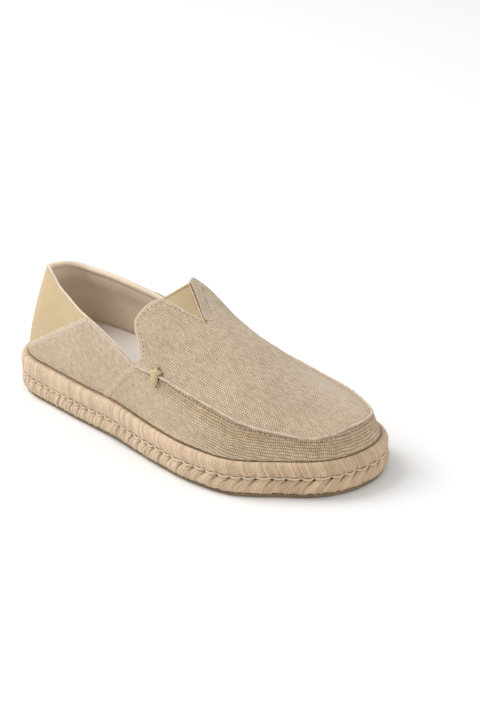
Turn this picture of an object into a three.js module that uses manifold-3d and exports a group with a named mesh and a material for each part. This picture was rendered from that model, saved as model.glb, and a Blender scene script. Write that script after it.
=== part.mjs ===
// A slip-on espadrille for the right foot. Millimetres, Z up. In the foot's own frame X runs
// forward from the back of the heel and Y to the inner side of the foot. Every curved piece is
// worked out from one table of stations along the foot and from the driving dimensions below.
import * as THREE from "three";
import Module from "manifold-3d";
import { mergeVertices } from "three/addons/utils/BufferGeometryUtils.js";

const { clamp, lerp } = THREE.MathUtils;

// ---- Driving dimensions ----
const LENGTH = 292;
const HEEL_ROUND = 38; // length of the round end at the heel
const TOE_ROUND = 70; // length of the round end at the toe
const ROUNDNESS = 2.2; // exponent of both round ends
const GAP = 0.3; // clearance between two pieces that meet

const OUTSOLE = { thickness: 2.4, inset: 2.6, bulge: 0.8 };
const LOWER_ROPE = { thickness: 10.2, inset: 0, bulge: 2.8 };
const UPPER_ROPE = { thickness: 11.0, inset: 0, bulge: 2.6 };
const INSOLE = { thickness: 3.2, bulge: 1.2, clearance: 1.0 };

const FEATHER = 5.2; // the rope stands out past the upper by this much
const WALL = 2.4; // canvas and lining together
const LEATHER = 1.0; // heel counter
const GORE = { thickness: 1.4, below: 0.5, clearance: 0.4, fromTip: 1.5 };
const TACK = { radius: 1.3, length: 5.5, ahead: 19, capSteps: 3, sides: 10 };
const SEAM_RIDGE = { height: 1.5, width: 2.4, fade: 14 };

// The sole is level under the heel and under the ball of the foot. Between them it is raised
// a little, and past the ball it springs up very slightly to the toe.
const LEVEL = { heelEnd: 88, ballStart: 158, ballEnd: 226, waist: 1.0, toe: 0.4 };

// Caution: most values of STATIONS, COLLAR, SEAM and THROAT were printed by a separate fitting
// program and put in here. They are not design choices, and this is not a way to copy: a form's
// numbers are to be chosen by hand from driving dimensions. report.md says which values they are.

// One row for each station: the middle and the half width of the sole, and the section of the
// upper there. height is the ridge over the rope, fullness squares the section's shoulders and
// steepness its foot. lean makes the section higher, or lower, towards the inner side. Behind
// the throat the ridge is only virtual: the collar cuts it off.
const STATIONS = [
  { x: 0, middle: -0.5, half: 34.5, height: 92, fullness: 1.2, steepness: 1.35, lean: 0 },
  { x: 35, middle: -0.8, half: 37.2, height: 92, fullness: 1.2, steepness: 1.35, lean: 0 },
  { x: 73, middle: -4.0, half: 39.5, height: 89, fullness: 1.5, steepness: 1.7, lean: 0 },
  { x: 117, middle: -8.0, half: 41.5, height: 84, fullness: 2.0, steepness: 2.2, lean: 0 },
  { x: 145, middle: -8.8, half: 45.8, height: 72, fullness: 2.0, steepness: 2.5, lean: 0.2 },
  { x: 170, middle: -9.0, half: 50.2, height: 57.1, fullness: 2.2, steepness: 2.3, lean: 0.11 },
  { x: 199, middle: -8.6, half: 54.5, height: 44.6, fullness: 2.15, steepness: 2.1, lean: 0.07 },
  { x: 234, middle: -4.3, half: 56.7, height: 30.3, fullness: 2.35, steepness: 2.1, lean: -0.06 },
  { x: 263, middle: 1.7, half: 51.6, height: 21.1, fullness: 2.78, steepness: 2.2, lean: 0.13 },
  { x: 292, middle: 4.9, half: 54.5, height: 22.8, fullness: 2.85, steepness: 2.2, lean: 0.04 },
];

// Height of the collar over the rope on each side of the foot.
const COLLAR = [
  { x: 20, outer: 59, inner: 59 },
  { x: 28, outer: 61.5, inner: 56.8 },
  { x: 36, outer: 60, inner: 55 },
  { x: 47, outer: 54.8, inner: 54.5 },
  { x: 60, outer: 51.6, inner: 53.4 },
  { x: 75, outer: 48, inner: 51.1 },
  { x: 100, outer: 43.8, inner: 47 },
  { x: 127, outer: 36.6, inner: 38.5 },
  { x: 145, outer: 31.7, inner: 31.7 },
];

// Height of the raised apron seam over the rope, from the collar's low point round the toe.
const SEAM = [
  { x: 145, rise: 31.7 },
  { x: 166, rise: 32.0 },
  { x: 194, rise: 27.6 },
  { x: 219, rise: 22.4 },
  { x: 237, rise: 17.9 },
  { x: 254, rise: 13.7 },
  { x: 272, rise: 10.4 },
  { x: 288, rise: 14.2 },
];
const LOW_POINT = SEAM[0].x;

// The throat's edge from the seam up to the corner of the V: ring is 1 at the rope and 0 on
// the ridge. The V runs on from the corner to its tip.
const THROAT = [
  { x: 149.0, ring: 0.876 },
  { x: 146.2, ring: 0.832 },
  { x: 140.0, ring: 0.778 },
  { x: 137.2, ring: 0.71 },
  { x: 139.0, ring: 0.6 },
  { x: 142.2, ring: 0.45 },
  { x: 146.0, ring: 0.3 },
];
const V_TIP = { x: 171, ring: 0 };

// The lower edge of the heel counter rises evenly from the back of the heel to the collar.
const COUNTER_EDGE = { x: 8, rise: 1.2, slope: 0.555, end: 86 };
// The recess that it lies in is cut out past the upper's outside and past the collar's edge.
const RECESS = { outward: 3, pastCollar: 4 };

// Steps of the meshes, and passes of the sums that come nearer with each pass.
const STEPS = {
  heel: 8, quarter: 12, vamp: 13, toe: 12, wall: 6, apron: 7, throat: 10, edge: 5, gore: 7,
  turn: 0.01,
};
const PASSES = { wall: 8, table: 6 };
const MERGE = 2e-3; // corners nearer than this are one
const FOOT = 0.01; // a surface stands on the rope where it is not higher than this
const SIMPLIFY = 0.02; // slivers thinner than this are taken out of the upper

// ---- The form of the foot ----
// Value of one column of a table at x: a smooth cubic through the rows.
function column(table, name, x) {
  const last = table.length - 1;
  const at = clamp(x, table[0].x, table[last].x);
  const next = Math.max(table.findIndex((row) => row.x >= at), 1);
  const slope = (k) => {
    const before = table[Math.max(k - 1, 0)];
    const after = table[Math.min(k + 1, last)];
    return (after[name] - before[name]) / (after.x - before.x);
  };
  const from = table[next - 1];
  const to = table[next];
  const span = to.x - from.x;
  const t = (at - from.x) / span;
  const start = from[name] * (1 + 2 * t) * (1 - t) ** 2 + slope(next - 1) * span * t * (1 - t) ** 2;
  const end = to[name] * t * t * (3 - 2 * t) + slope(next) * span * t * t * (t - 1);
  return start + end;
}

const smooth = (t) => clamp(t, 0, 1) ** 2 * (3 - 2 * clamp(t, 0, 1));

function lift(x) {
  const alongWaist = clamp((x - LEVEL.heelEnd) / (LEVEL.ballStart - LEVEL.heelEnd), 0, 1);
  const pastBall = (x - LEVEL.ballEnd) / (LENGTH - LEVEL.ballEnd);
  return LEVEL.waist * Math.sin(Math.PI * alongWaist) ** 2 + LEVEL.toe * smooth(pastBall);
}

// Where the straight sides end, and how long the round ends are for an outline that lies
// `inset` inside the edge of the rope.
function ends(inset) {
  return {
    heelEnd: HEEL_ROUND,
    toeStart: LENGTH - TOE_ROUND,
    heel: HEEL_ROUND - inset,
    toe: TOE_ROUND - inset,
  };
}

// A point in plan. turn goes from 0 to 1 along the outer side, to 2 round the toe, to 3 back
// along the inner side and to 4 round the heel. ring is 1 on the outline and 0 in the middle.
function plan(turn, ring, inset) {
  const { heel, toe, heelEnd, toeStart } = ends(inset);
  const side = ((turn % 4) + 4) % 4;
  const along = side % 1;
  const across = Math.cos(Math.PI * along);
  const forward = Math.sin(Math.PI * along) ** (2 / ROUNDNESS);
  const sideways = Math.sign(across) * Math.abs(across) ** (2 / ROUNDNESS);
  const at = (x, factor) => {
    const reach = (column(STATIONS, "half", x) - inset) * ring;
    return { x, y: column(STATIONS, "middle", x) + reach * factor };
  };
  if (side < 1) return at(lerp(heelEnd, toeStart, along), -1);
  if (side < 2) return at(toeStart + toe * ring * forward, -sideways);
  if (side < 3) return at(lerp(toeStart, heelEnd, along), 1);
  return at(heelEnd - heel * ring * forward, sideways);
}

// How far a place lies to the inner side: 0 in the middle of the foot, 1 at its inner edge.
const inward = (x, y) =>
  (y - column(STATIONS, "middle", x)) / (column(STATIONS, "half", x) - FEATHER);

// The ring that a point of the upper's plan lies on.
function ringAt(x, y) {
  const { heel, toe, heelEnd, toeStart } = ends(FEATHER);
  const lengthwise = Math.max(0, (x - toeStart) / toe, (heelEnd - x) / heel);
  const crosswise = Math.abs(inward(x, y));
  return Math.min(1, (lengthwise ** ROUNDNESS + crosswise ** ROUNDNESS) ** (1 / ROUNDNESS));
}

// Height of the section's ridge over the rope, as it counts for a place in plan.
const heightAt = (x, y) =>
  column(STATIONS, "height", x) * (1 + column(STATIONS, "lean", x) * smooth(inward(x, y)));

const ropeTop =
  OUTSOLE.thickness + LOWER_ROPE.thickness + UPPER_ROPE.thickness + 2 * GAP;
const featherHeight = (x) => ropeTop + GAP + lift(x);
const riseOf = (point) => point.z - featherHeight(point.x);

// A point on the upper's outside over a place in plan.
function overPlan(x, y) {
  const part = 1 - ringAt(x, y) ** column(STATIONS, "fullness", x);
  const rise = heightAt(x, y) * part ** (1 / column(STATIONS, "steepness", x));
  return new THREE.Vector3(x, y, featherHeight(x) + rise);
}

// The point of the side wall at a turn and a height over the rope. The place in plan and the
// form's height there depend on each other, so a few passes bring them together.
function onWall(turn, rise) {
  let at = plan(turn, 1, FEATHER);
  for (let pass = 0; pass < PASSES.wall; pass += 1) {
    const part = clamp(rise / heightAt(at.x, at.y), 0, 1);
    const ring = (1 - part ** column(STATIONS, "steepness", at.x))
      ** (1 / column(STATIONS, "fullness", at.x));
    at = plan(turn, ring, FEATHER);
  }
  return new THREE.Vector3(at.x, at.y, featherHeight(at.x) + rise);
}

// ---- Turns at which the meshes have their columns ----
const range = (count, from, to) =>
  Array.from({ length: count }, (_, i) => lerp(from, to, i / count));
const turnOf = (x) => (x - HEEL_ROUND) / (LENGTH - TOE_ROUND - HEEL_ROUND);
const mirrored = (turn) => 3 - turn;
const LOW_TURN = turnOf(LOW_POINT);

const outerTurns = {
  heel: range(STEPS.heel, -0.5, 0),
  quarter: range(STEPS.quarter, 0, LOW_TURN),
  vamp: [...range(STEPS.vamp, LOW_TURN, 1), ...range(STEPS.toe, 1, 1.5)],
};
const halfTurns = [...outerTurns.heel, ...outerTurns.quarter, ...outerTurns.vamp, 1.5];
const allTurns = [...halfTurns, ...halfTurns.slice(1, -1).reverse().map(mirrored)];
const vampTurns = [...outerTurns.vamp, 1.5, ...[...outerTurns.vamp].reverse().map(mirrored)];

// ---- Meshes ----
// Faces of a grid of points: columns run to the right and rows upwards, seen from outside.
function gridFaces(columns, closed = false) {
  const faces = [];
  const count = closed ? columns.length : columns.length - 1;
  for (let i = 0; i < count; i += 1) {
    const here = columns[i];
    const next = columns[(i + 1) % columns.length];
    for (let j = 0; j + 1 < here.length; j += 1) {
      faces.push([here[j], next[j], next[j + 1]], [here[j], next[j + 1], here[j + 1]]);
    }
  }
  return faces;
}

// One indexed surface from faces, with shared corners joined and empty faces left out.
function weld(faces) {
  const points = faces.flat().flatMap((point) => point.toArray());
  const loose = new THREE.BufferGeometry();
  loose.setAttribute("position", new THREE.Float32BufferAttribute(points, 3));
  const joined = mergeVertices(loose, MERGE);
  const kept = [];
  for (let i = 0; i < joined.index.count; i += 3) {
    const corners = [0, 1, 2].map((k) => joined.index.getX(i + k));
    if (new Set(corners).size === 3) kept.push(...corners);
  }
  joined.setIndex(kept);
  return joined;
}

// A wall of even thickness over a surface, from `inward` under it to `outward` over it. Where
// the surface stands on the rope, its foot stays level.
function thicken(surface, inward, outward) {
  surface.computeVertexNormals();
  const position = surface.getAttribute("position");
  const normal = surface.getAttribute("normal");
  const moved = (index, distance) => {
    const point = new THREE.Vector3().fromBufferAttribute(position, index);
    const direction = new THREE.Vector3().fromBufferAttribute(normal, index);
    if (riseOf(point) < FOOT) direction.setZ(0).normalize();
    return point.addScaledVector(direction, distance);
  };
  const outside = Array.from({ length: position.count }, (_, i) => moved(i, outward));
  const inside = Array.from({ length: position.count }, (_, i) => moved(i, -inward));
  const corners = Array.from(surface.index.array);
  const faces = [];
  const edges = new Map();
  for (let i = 0; i < corners.length; i += 3) {
    const face = corners.slice(i, i + 3);
    faces.push(face.map((k) => outside[k]), [...face].reverse().map((k) => inside[k]));
    face.forEach((from, k) => edges.set(`${from} ${face[(k + 1) % 3]}`, [from, face[(k + 1) % 3]]));
  }
  for (const [from, to] of edges.values()) {
    if (edges.has(`${to} ${from}`)) continue;
    faces.push([outside[to], outside[from], inside[from]]);
    faces.push([outside[to], inside[from], inside[to]]);
  }
  return weld(faces);
}

// A slab of the sole with rounded edges, from `bottom` upwards.
function slab({ thickness, inset, bulge }, bottom) {
  const profile = Array.from({ length: STEPS.edge + 1 }, (_, j) => {
    const angle = lerp(-Math.PI / 2, Math.PI / 2, j / STEPS.edge);
    const up = (thickness / 2) * (1 + Math.sin(angle));
    return { inset: inset + bulge * (1 - Math.cos(angle)), up };
  });
  const columns = allTurns.map((turn) =>
    profile.map((step) => {
      const { x, y } = plan(turn, 1, step.inset);
      return new THREE.Vector3(x, y, bottom + step.up + lift(x));
    }));
  const faces = gridFaces(columns, true);
  const count = columns.length;
  for (let i = 0; i < count / 2; i += 1) {
    const pairs = [i, i + 1, (count - i - 1) % count, (count - i) % count].map((k) => columns[k]);
    const [a, b, c, d] = pairs.map((points) => points[STEPS.edge]);
    faces.push([a, b, c], [a, c, d]);
    const [e, f, g, h] = pairs.map((points) => points[0]);
    faces.push([g, f, e], [h, g, e]);
  }
  return weld(faces);
}

// ---- The solids that cut and join ----
const wasm = await Module();
wasm.setup();

function solid(geometry) {
  const { array } = geometry.getAttribute("position");
  const triVerts = new Uint32Array(geometry.index.array);
  return new wasm.Manifold(new wasm.Mesh({ numProp: 3, vertProperties: array, triVerts }));
}

function geometryOf(body) {
  const mesh = body.getMesh();
  const geometry = new THREE.BufferGeometry();
  geometry.setAttribute("position", new THREE.BufferAttribute(mesh.vertProperties, 3));
  geometry.setIndex(new THREE.BufferAttribute(mesh.triVerts, 1));
  return geometry;
}

// ---- The upper ----
// The point of the wall at a turn where its height is what a column of a table says.
function onTable(turn, table, name) {
  let at = plan(turn, 1, FEATHER);
  for (let pass = 0; pass < PASSES.table; pass += 1) at = onWall(turn, column(table, name, at.x));
  return at;
}

const isInner = (turn) => turn > 1.5 || turn < -0.5;
const collarPoint = (turn) => onTable(turn, COLLAR, isInner(turn) ? "inner" : "outer");
const seamPoint = (turn) => onTable(turn, SEAM, "rise");

// The crest of the raised seam: it stands out square to the wall, and less and less towards
// the collar's low point.
function seamCrest(turn) {
  const at = seamPoint(turn);
  const along = onWall(turn + STEPS.turn, riseOf(at)).sub(onWall(turn - STEPS.turn, riseOf(at)));
  const up = at.clone().sub(onWall(turn, riseOf(at) - SEAM_RIDGE.width));
  const outward = along.cross(up).normalize();
  const fade = smooth((at.x - LOW_POINT) / SEAM_RIDGE.fade);
  return at.addScaledVector(outward, SEAM_RIDGE.height * fade);
}

// A column of points up the wall, in even steps from one height to another.
function wallColumn(turn, low, high) {
  return [...range(STEPS.wall, low, high), high].map((rise) => onWall(turn, rise));
}

// The edge of the throat and of the V beside the column `step` of half a vamp.
function throatEdge(step, steps, inner) {
  const side = inner ? 1 : -1;
  const low = { x: LOW_POINT, ring: ringAt(LOW_POINT, seamPoint(LOW_TURN).y) };
  const places = [low, ...THROAT].map((row) => new THREE.Vector2(row.x, row.ring));
  const curve = new THREE.SplineCurve(places);
  const corner = THROAT[THROAT.length - 1];
  const alongV = (step - STEPS.throat) / (steps - STEPS.throat);
  const at = step <= STEPS.throat
    ? curve.getPoint(step / STEPS.throat)
    : new THREE.Vector2(lerp(corner.x, V_TIP.x, alongV), lerp(corner.ring, V_TIP.ring, alongV));
  const reach = (column(STATIONS, "half", at.x) - FEATHER) * at.y;
  return { x: at.x, y: column(STATIONS, "middle", at.x) + side * reach };
}

function wallColumns() {
  return allTurns.map((turn) => {
    const onVamp = turn >= LOW_TURN && turn <= mirrored(LOW_TURN);
    const top = onVamp ? seamPoint(turn) : collarPoint(turn);
    const below = wallColumn(turn, 0, riseOf(top) - SEAM_RIDGE.width);
    return [...below, onVamp ? seamCrest(turn) : top];
  });
}

function apronColumns() {
  const half = (vampTurns.length - 1) / 2;
  return vampTurns.map((turn, i) => {
    const inner = i > half;
    const from = seamPoint(turn);
    const to = throatEdge(inner ? 2 * half - i : i, half, inner);
    const length = Math.hypot(to.x - from.x, to.y - from.y);
    const pastSeam = SEAM_RIDGE.width / Math.max(SEAM_RIDGE.width, length);
    const parts = [...range(STEPS.apron, pastSeam, 1), 1];
    const onTop = parts.map((t) => overPlan(lerp(from.x, to.x, t), lerp(from.y, to.y, t)));
    return [seamCrest(turn), ...onTop];
  });
}

function heelTurns(reach) {
  const outer = turnOf(reach);
  const before = (turn) => turn < outer - STEPS.turn;
  const turns = [...outerTurns.heel, ...outerTurns.quarter].filter(before);
  return [...turns.slice(1).map((turn) => -1 - turn).reverse(), ...turns, outer];
}

// The part of the wall that the heel counter covers, with a margin all round.
function counterSurface(margin) {
  const end = COUNTER_EDGE.end + margin;
  const turns = heelTurns(end);
  turns.unshift(-1 - turnOf(end));
  const columns = turns.map((turn) => {
    const { x } = plan(turn, 1, FEATHER);
    const low = COUNTER_EDGE.rise + COUNTER_EDGE.slope * Math.max(0, x - COUNTER_EDGE.x) - margin;
    const high = riseOf(collarPoint(turn)) + (margin > 0 ? RECESS.pastCollar : 0);
    return wallColumn(turn, low, high);
  });
  return weld(gridFaces(columns));
}

function upper() {
  const outside = weld([...gridFaces(wallColumns(), true), ...gridFaces(apronColumns())]);
  const shell = solid(thicken(outside, WALL, 0));
  const recess = solid(thicken(counterSurface(GAP), LEATHER + GAP, RECESS.outward));
  return geometryOf(shell.subtract(recess).simplify(SIMPLIFY));
}

// ---- The small leather pieces ----
// The gore is stretched straight across the V, so it lies flat between the V's two edges.
function throatGore() {
  const corner = THROAT[THROAT.length - 1];
  const reach = (column(STATIONS, "half", corner.x) - FEATHER) * corner.ring - GORE.clearance;
  const across = [...range(STEPS.gore, 0, 1), 1];
  const tip = V_TIP.x - GORE.fromTip;
  const rows = across.map((back) => {
    const x = lerp(tip, corner.x, back);
    const middle = column(STATIONS, "middle", x);
    return [1, -1].map((side) => overPlan(x, middle + side * reach * back));
  });
  const columns = across.map((t) => rows.map(([inner, outer]) => inner.clone().lerp(outer, t)));
  return thicken(weld(gridFaces(columns)), GORE.below + GORE.thickness, -GORE.below);
}

function tack(inner) {
  const side = (turn) => (inner ? mirrored(turn) : turn);
  const turn = turnOf(LOW_POINT + TACK.ahead);
  const at = seamPoint(side(turn));
  const along = seamPoint(side(turn + STEPS.turn)).sub(at).multiplyScalar(inner ? -1 : 1);
  const up = at.clone().sub(onWall(side(turn), riseOf(at) - TACK.length / 2)).normalize();
  const outward = along.cross(up).normalize();
  const middle = seamCrest(side(turn)).addScaledVector(outward, TACK.radius + 2 * GAP);
  const geometry = new THREE.CapsuleGeometry(TACK.radius, TACK.length, TACK.capSteps, TACK.sides);
  geometry.deleteAttribute("normal");
  geometry.deleteAttribute("uv");
  const lengthwise = new THREE.Vector3(0, 1, 0);
  geometry.applyQuaternion(new THREE.Quaternion().setFromUnitVectors(lengthwise, up));
  geometry.translate(...middle.toArray());
  return mergeVertices(geometry, MERGE);
}

// ---- Assembly ----
const lowerRopeBottom = OUTSOLE.thickness + GAP;
const upperRopeBottom = lowerRopeBottom + LOWER_ROPE.thickness + GAP;
const insoleSize = { ...INSOLE, inset: FEATHER + WALL + INSOLE.clearance };

const COLORS = {
  rubber: 0x6f6347, lowerRope: 0xd0b18c, upperRope: 0xd6b893, sock: 0xb9afa5, canvas: 0xcdb48c,
  counter: 0xcbb98a, gore: 0xc2ab7c, cord: 0xbda26f,
};

const PIECES = {
  outsole: { geometry: slab(OUTSOLE, 0), color: COLORS.rubber, roughness: 0.85 },
  rope_midsole_lower: {
    geometry: slab(LOWER_ROPE, lowerRopeBottom), color: COLORS.lowerRope, roughness: 0.95,
  },
  rope_midsole_upper: {
    geometry: slab(UPPER_ROPE, upperRopeBottom), color: COLORS.upperRope, roughness: 0.95,
  },
  insole: { geometry: slab(insoleSize, ropeTop + GAP), color: COLORS.sock, roughness: 0.9 },
  upper: { geometry: upper(), color: COLORS.canvas, roughness: 0.95 },
  heel_counter: {
    geometry: thicken(counterSurface(0), LEATHER, 0), color: COLORS.counter, roughness: 0.6,
  },
  throat_gore: { geometry: throatGore(), color: COLORS.gore, roughness: 0.6 },
  tack_lateral: { geometry: tack(false), color: COLORS.cord, roughness: 0.6 },
  tack_medial: { geometry: tack(true), color: COLORS.cord, roughness: 0.6 },
};

const espadrille = new THREE.Group();
for (const [name, { geometry, color, roughness }] of Object.entries(PIECES)) {
  const material = new THREE.MeshStandardMaterial({ color, roughness, metalness: 0 });
  const mesh = new THREE.Mesh(geometry, material);
  mesh.name = name;
  espadrille.add(mesh);
}

// The origin is on the floor, under the middle of the sole's outline.
const edge = Array.from({ length: 4 / STEPS.turn }, (_, i) => plan(i * STEPS.turn, 1, 0).y);
const middleY = (Math.min(...edge) + Math.max(...edge)) / 2;
espadrille.position.set(-LENGTH / 2, -middleY, 0);

export default espadrille;
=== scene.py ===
"""Espadrille for the right foot: its visible pieces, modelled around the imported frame."""
import math

import bmesh
import bpy
import numpy as np
from bpy.props import FloatProperty, FloatVectorProperty, IntProperty, PointerProperty
from mathutils import Matrix, Vector


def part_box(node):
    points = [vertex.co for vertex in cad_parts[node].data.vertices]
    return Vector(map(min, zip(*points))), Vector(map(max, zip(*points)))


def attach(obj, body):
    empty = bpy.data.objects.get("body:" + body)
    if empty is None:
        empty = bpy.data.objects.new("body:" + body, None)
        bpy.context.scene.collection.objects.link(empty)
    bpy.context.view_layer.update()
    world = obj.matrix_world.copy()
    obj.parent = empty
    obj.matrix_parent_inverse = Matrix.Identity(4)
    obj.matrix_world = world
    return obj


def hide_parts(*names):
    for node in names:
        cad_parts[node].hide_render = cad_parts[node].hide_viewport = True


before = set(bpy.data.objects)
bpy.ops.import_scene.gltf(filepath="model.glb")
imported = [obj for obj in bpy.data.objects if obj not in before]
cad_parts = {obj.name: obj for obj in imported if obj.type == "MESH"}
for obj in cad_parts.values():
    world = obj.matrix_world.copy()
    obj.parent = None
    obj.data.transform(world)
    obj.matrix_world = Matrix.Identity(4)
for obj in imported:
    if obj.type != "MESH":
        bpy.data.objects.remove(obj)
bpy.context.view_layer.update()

bl_info = {
    "name": "Rope Sole Slip-on",
    "version": (1, 0, 0),
    "blender": (4, 5, 0),
    "location": "View3D > Sidebar > Slip-on",
    "description": "Builds a canvas and leather slip-on shoe on a wrapped rope sole",
    "category": "Mesh",
}

# ---------------------------------------------------------------------------------------------
# Sizes. The form is worked out in millimetres in the foot's own frame: x forward from the back
# of the heel, y to the inner side of the foot, z up from the floor.
# ---------------------------------------------------------------------------------------------
MM = 0.001
ROUNDNESS = 2.2
HEEL_ROUND = 38.0
TOE_ROUND = 70.0
FEATHER = 5.2


def node_height(node, end):
    """Lowest (0) or highest (1) height of a node of the frame, in millimetres."""
    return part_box(node)[end][2] / MM


LENGTH = (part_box("rope_midsole_upper")[1][0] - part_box("rope_midsole_upper")[0][0]) / MM
TOE_START = LENGTH - TOE_ROUND
FEATHER_HEIGHT = node_height("upper", 0)
LOWER_ROPE_BOTTOM = node_height("rope_midsole_lower", 0)
UPPER_ROPE_BOTTOM = node_height("rope_midsole_upper", 0)
INSOLE_BOTTOM = node_height("insole", 0)
GROOVE_HEIGHT = UPPER_ROPE_BOTTOM - 0.15
LOW_POINT = 145.0
V_TIP_X = 171.0
HEEL_TURN = -0.5
TOE_TURN = 1.5


class Table:
    """Sizes along the foot: a row for each station, and a smooth cubic through each column."""

    def __init__(self, names, *rows):
        self.names = names.split()
        self.rows = np.array(rows, float)

    def at(self, name, x):
        stations = self.rows[:, 0]
        values = self.rows[:, self.names.index(name)]
        x = np.clip(x, stations[0], stations[-1])
        after = np.clip(np.searchsorted(stations, x), 1, len(stations) - 1)
        last = len(stations) - 1
        index = np.arange(last + 1)
        high = np.minimum(index + 1, last)
        low = np.maximum(index - 1, 0)
        slopes = (values[high] - values[low]) / (stations[high] - stations[low])
        before = after - 1
        span = stations[after] - stations[before]
        t = (x - stations[before]) / span
        start = values[before] * (1 + 2 * t) * (1 - t) ** 2 + slopes[before] * span * t * (1 - t) ** 2
        end = values[after] * t * t * (3 - 2 * t) + slopes[after] * span * t * t * (t - 1)
        return start + end


# Caution: most values of STATIONS, COLLAR, SEAM and THROAT were printed by a separate fitting
# program and put in here. They are not design choices, and this is not a way to copy: a form's
# numbers are to be chosen by hand from driving dimensions.
STATIONS = Table(
    "x middle half height fullness steepness lean",
    (0, -0.5, 34.5, 92.0, 1.2, 1.35, 0.0),
    (35, -0.8, 37.2, 92.0, 1.2, 1.35, 0.0),
    (73, -4.0, 39.5, 89.0, 1.5, 1.7, 0.0),
    (117, -8.0, 41.5, 84.0, 2.0, 2.2, 0.0),
    (145, -8.8, 45.8, 72.0, 2.0, 2.5, 0.20),
    (170, -9.0, 50.2, 57.1, 2.2, 2.3, 0.11),
    (199, -8.6, 54.5, 44.6, 2.15, 2.1, 0.07),
    (234, -4.3, 56.7, 30.3, 2.35, 2.1, -0.06),
    (263, 1.7, 51.6, 21.1, 2.78, 2.2, 0.13),
    (292, 4.9, 54.5, 22.8, 2.85, 2.2, 0.04),
)
COLLAR = Table(
    "x outer inner",
    (20, 59.0, 59.0),
    (28, 61.5, 56.8),
    (36, 60.0, 55.0),
    (47, 54.8, 54.5),
    (60, 51.6, 53.4),
    (75, 48.0, 51.1),
    (100, 43.8, 47.0),
    (127, 36.6, 38.5),
    (145, 31.7, 31.7),
)
SEAM = Table(
    "x rise",
    (145, 31.7),
    (166, 32.0),
    (194, 27.6),
    (219, 22.4),
    (237, 17.9),
    (254, 13.7),
    (272, 10.4),
    (288, 14.2),
)
THROAT = (
    (149.0, 0.876),
    (146.2, 0.832),
    (140.0, 0.778),
    (137.2, 0.71),
    (139.0, 0.60),
    (142.2, 0.45),
    (146.0, 0.30),
)
LEVEL = {"heel_end": 88.0, "ball_start": 158.0, "ball_end": 226.0, "waist": 1.0, "toe": 0.4}
COUNTER_EDGE = {"x": 8.0, "rise": 1.2, "slope": 0.555, "end": 88.6}

# Soft troughs (depth above 0) and ridges (below 0) pressed into the upper, in millimetres.
CREASES = Table(
    "from_x from_y from_z to_x to_y to_z width depth",
    (60, -34, 76, 66, -38, 34, 9.0, 0.9),
    (88, -37, 66, 96, -42, 36, 8.0, 0.6),
    (112, -38, 58, 122, -44, 34, 8.0, -0.7),
    (30, -28, 78, 20, -32, 36, 7.0, -0.6),
    (24, 24, 70, 34, 32, 40, 9.0, 0.9),
    (150, -46, 58, 176, -30, 76, 6.0, 0.6),
    (176, -44, 54, 196, -22, 68, 8.0, 0.7),
    (172, 6, 80, 196, 30, 62, 9.0, 0.6),
    (196, -6, 69, 214, 26, 56, 10.0, -0.5),
    (212, -50, 40, 228, -36, 46, 8.0, 0.6),
    (226, -14, 58, 246, 10, 50, 11.0, 0.6),
    (190, -58, 34, 206, -60, 44, 6.0, 0.5),
    (150, -52, 34, 160, -50, 52, 6.0, -0.5),
)


# ---------------------------------------------------------------------------------------------
# The form of the foot. All functions take numbers or numpy arrays.
# ---------------------------------------------------------------------------------------------
def smooth(t):
    t = np.clip(t, 0.0, 1.0)
    return t * t * (3 - 2 * t)


def lerp(a, b, t):
    return a + (b - a) * t


def lift(x):
    """Height of the sole over the floor: raised at the waist, sprung at the toe."""
    along = (x - LEVEL["heel_end"]) / (LEVEL["ball_start"] - LEVEL["heel_end"])
    past_ball = (x - LEVEL["ball_end"]) / (LENGTH - LEVEL["ball_end"])
    waist = LEVEL["waist"] * np.sin(math.pi * np.clip(along, 0, 1)) ** 2
    return waist + LEVEL["toe"] * smooth(past_ball)


def plan(turn, ring, inset):
    """A place in plan. turn is 0 to 1 along the outer side, to 2 round the toe, to 3 back along
    the inner side and to 4 round the heel. ring is 1 on the outline and 0 in the middle."""
    turn = np.mod(turn, 4.0)
    along = np.mod(turn, 1.0)
    part = np.floor(turn)
    forward = np.abs(np.sin(math.pi * along)) ** (2 / ROUNDNESS)
    across = np.cos(math.pi * along)
    sideways = np.sign(across) * np.abs(across) ** (2 / ROUNDNESS)
    parts = [part == 0, part == 1, part == 2]
    x = np.select(
        parts,
        [
            lerp(HEEL_ROUND, TOE_START, along),
            TOE_START + (TOE_ROUND - inset) * ring * forward,
            lerp(TOE_START, HEEL_ROUND, along),
        ],
        HEEL_ROUND - (HEEL_ROUND - inset) * ring * forward,
    )
    side = np.select(parts, [-np.ones_like(along), -sideways, np.ones_like(along)], sideways)
    y = STATIONS.at("middle", x) + (STATIONS.at("half", x) - inset) * ring * side
    return x, y


def ring_at(x, y):
    into_toe = (x - TOE_START) / (TOE_ROUND - FEATHER)
    into_heel = (HEEL_ROUND - x) / (HEEL_ROUND - FEATHER)
    lengthwise = np.maximum(into_toe, into_heel)
    lengthwise = np.maximum(lengthwise, 0.0)
    crosswise = np.abs(y - STATIONS.at("middle", x)) / (STATIONS.at("half", x) - FEATHER)
    ring = (lengthwise ** ROUNDNESS + crosswise ** ROUNDNESS) ** (1 / ROUNDNESS)
    return np.minimum(ring, 1.0)


def height_at(x, y):
    """Height of the section's ridge, made more or less towards the inner side of the foot."""
    inward = (y - STATIONS.at("middle", x)) / (STATIONS.at("half", x) - FEATHER)
    return STATIONS.at("height", x) * (1 + STATIONS.at("lean", x) * smooth(inward))


def over_plan(x, y):
    """Points of the upper's outside over places in plan."""
    part = 1 - ring_at(x, y) ** STATIONS.at("fullness", x)
    rise = height_at(x, y) * part ** (1 / STATIONS.at("steepness", x))
    return np.stack([x, y, FEATHER_HEIGHT + lift(x) + rise], axis=-1)


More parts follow.
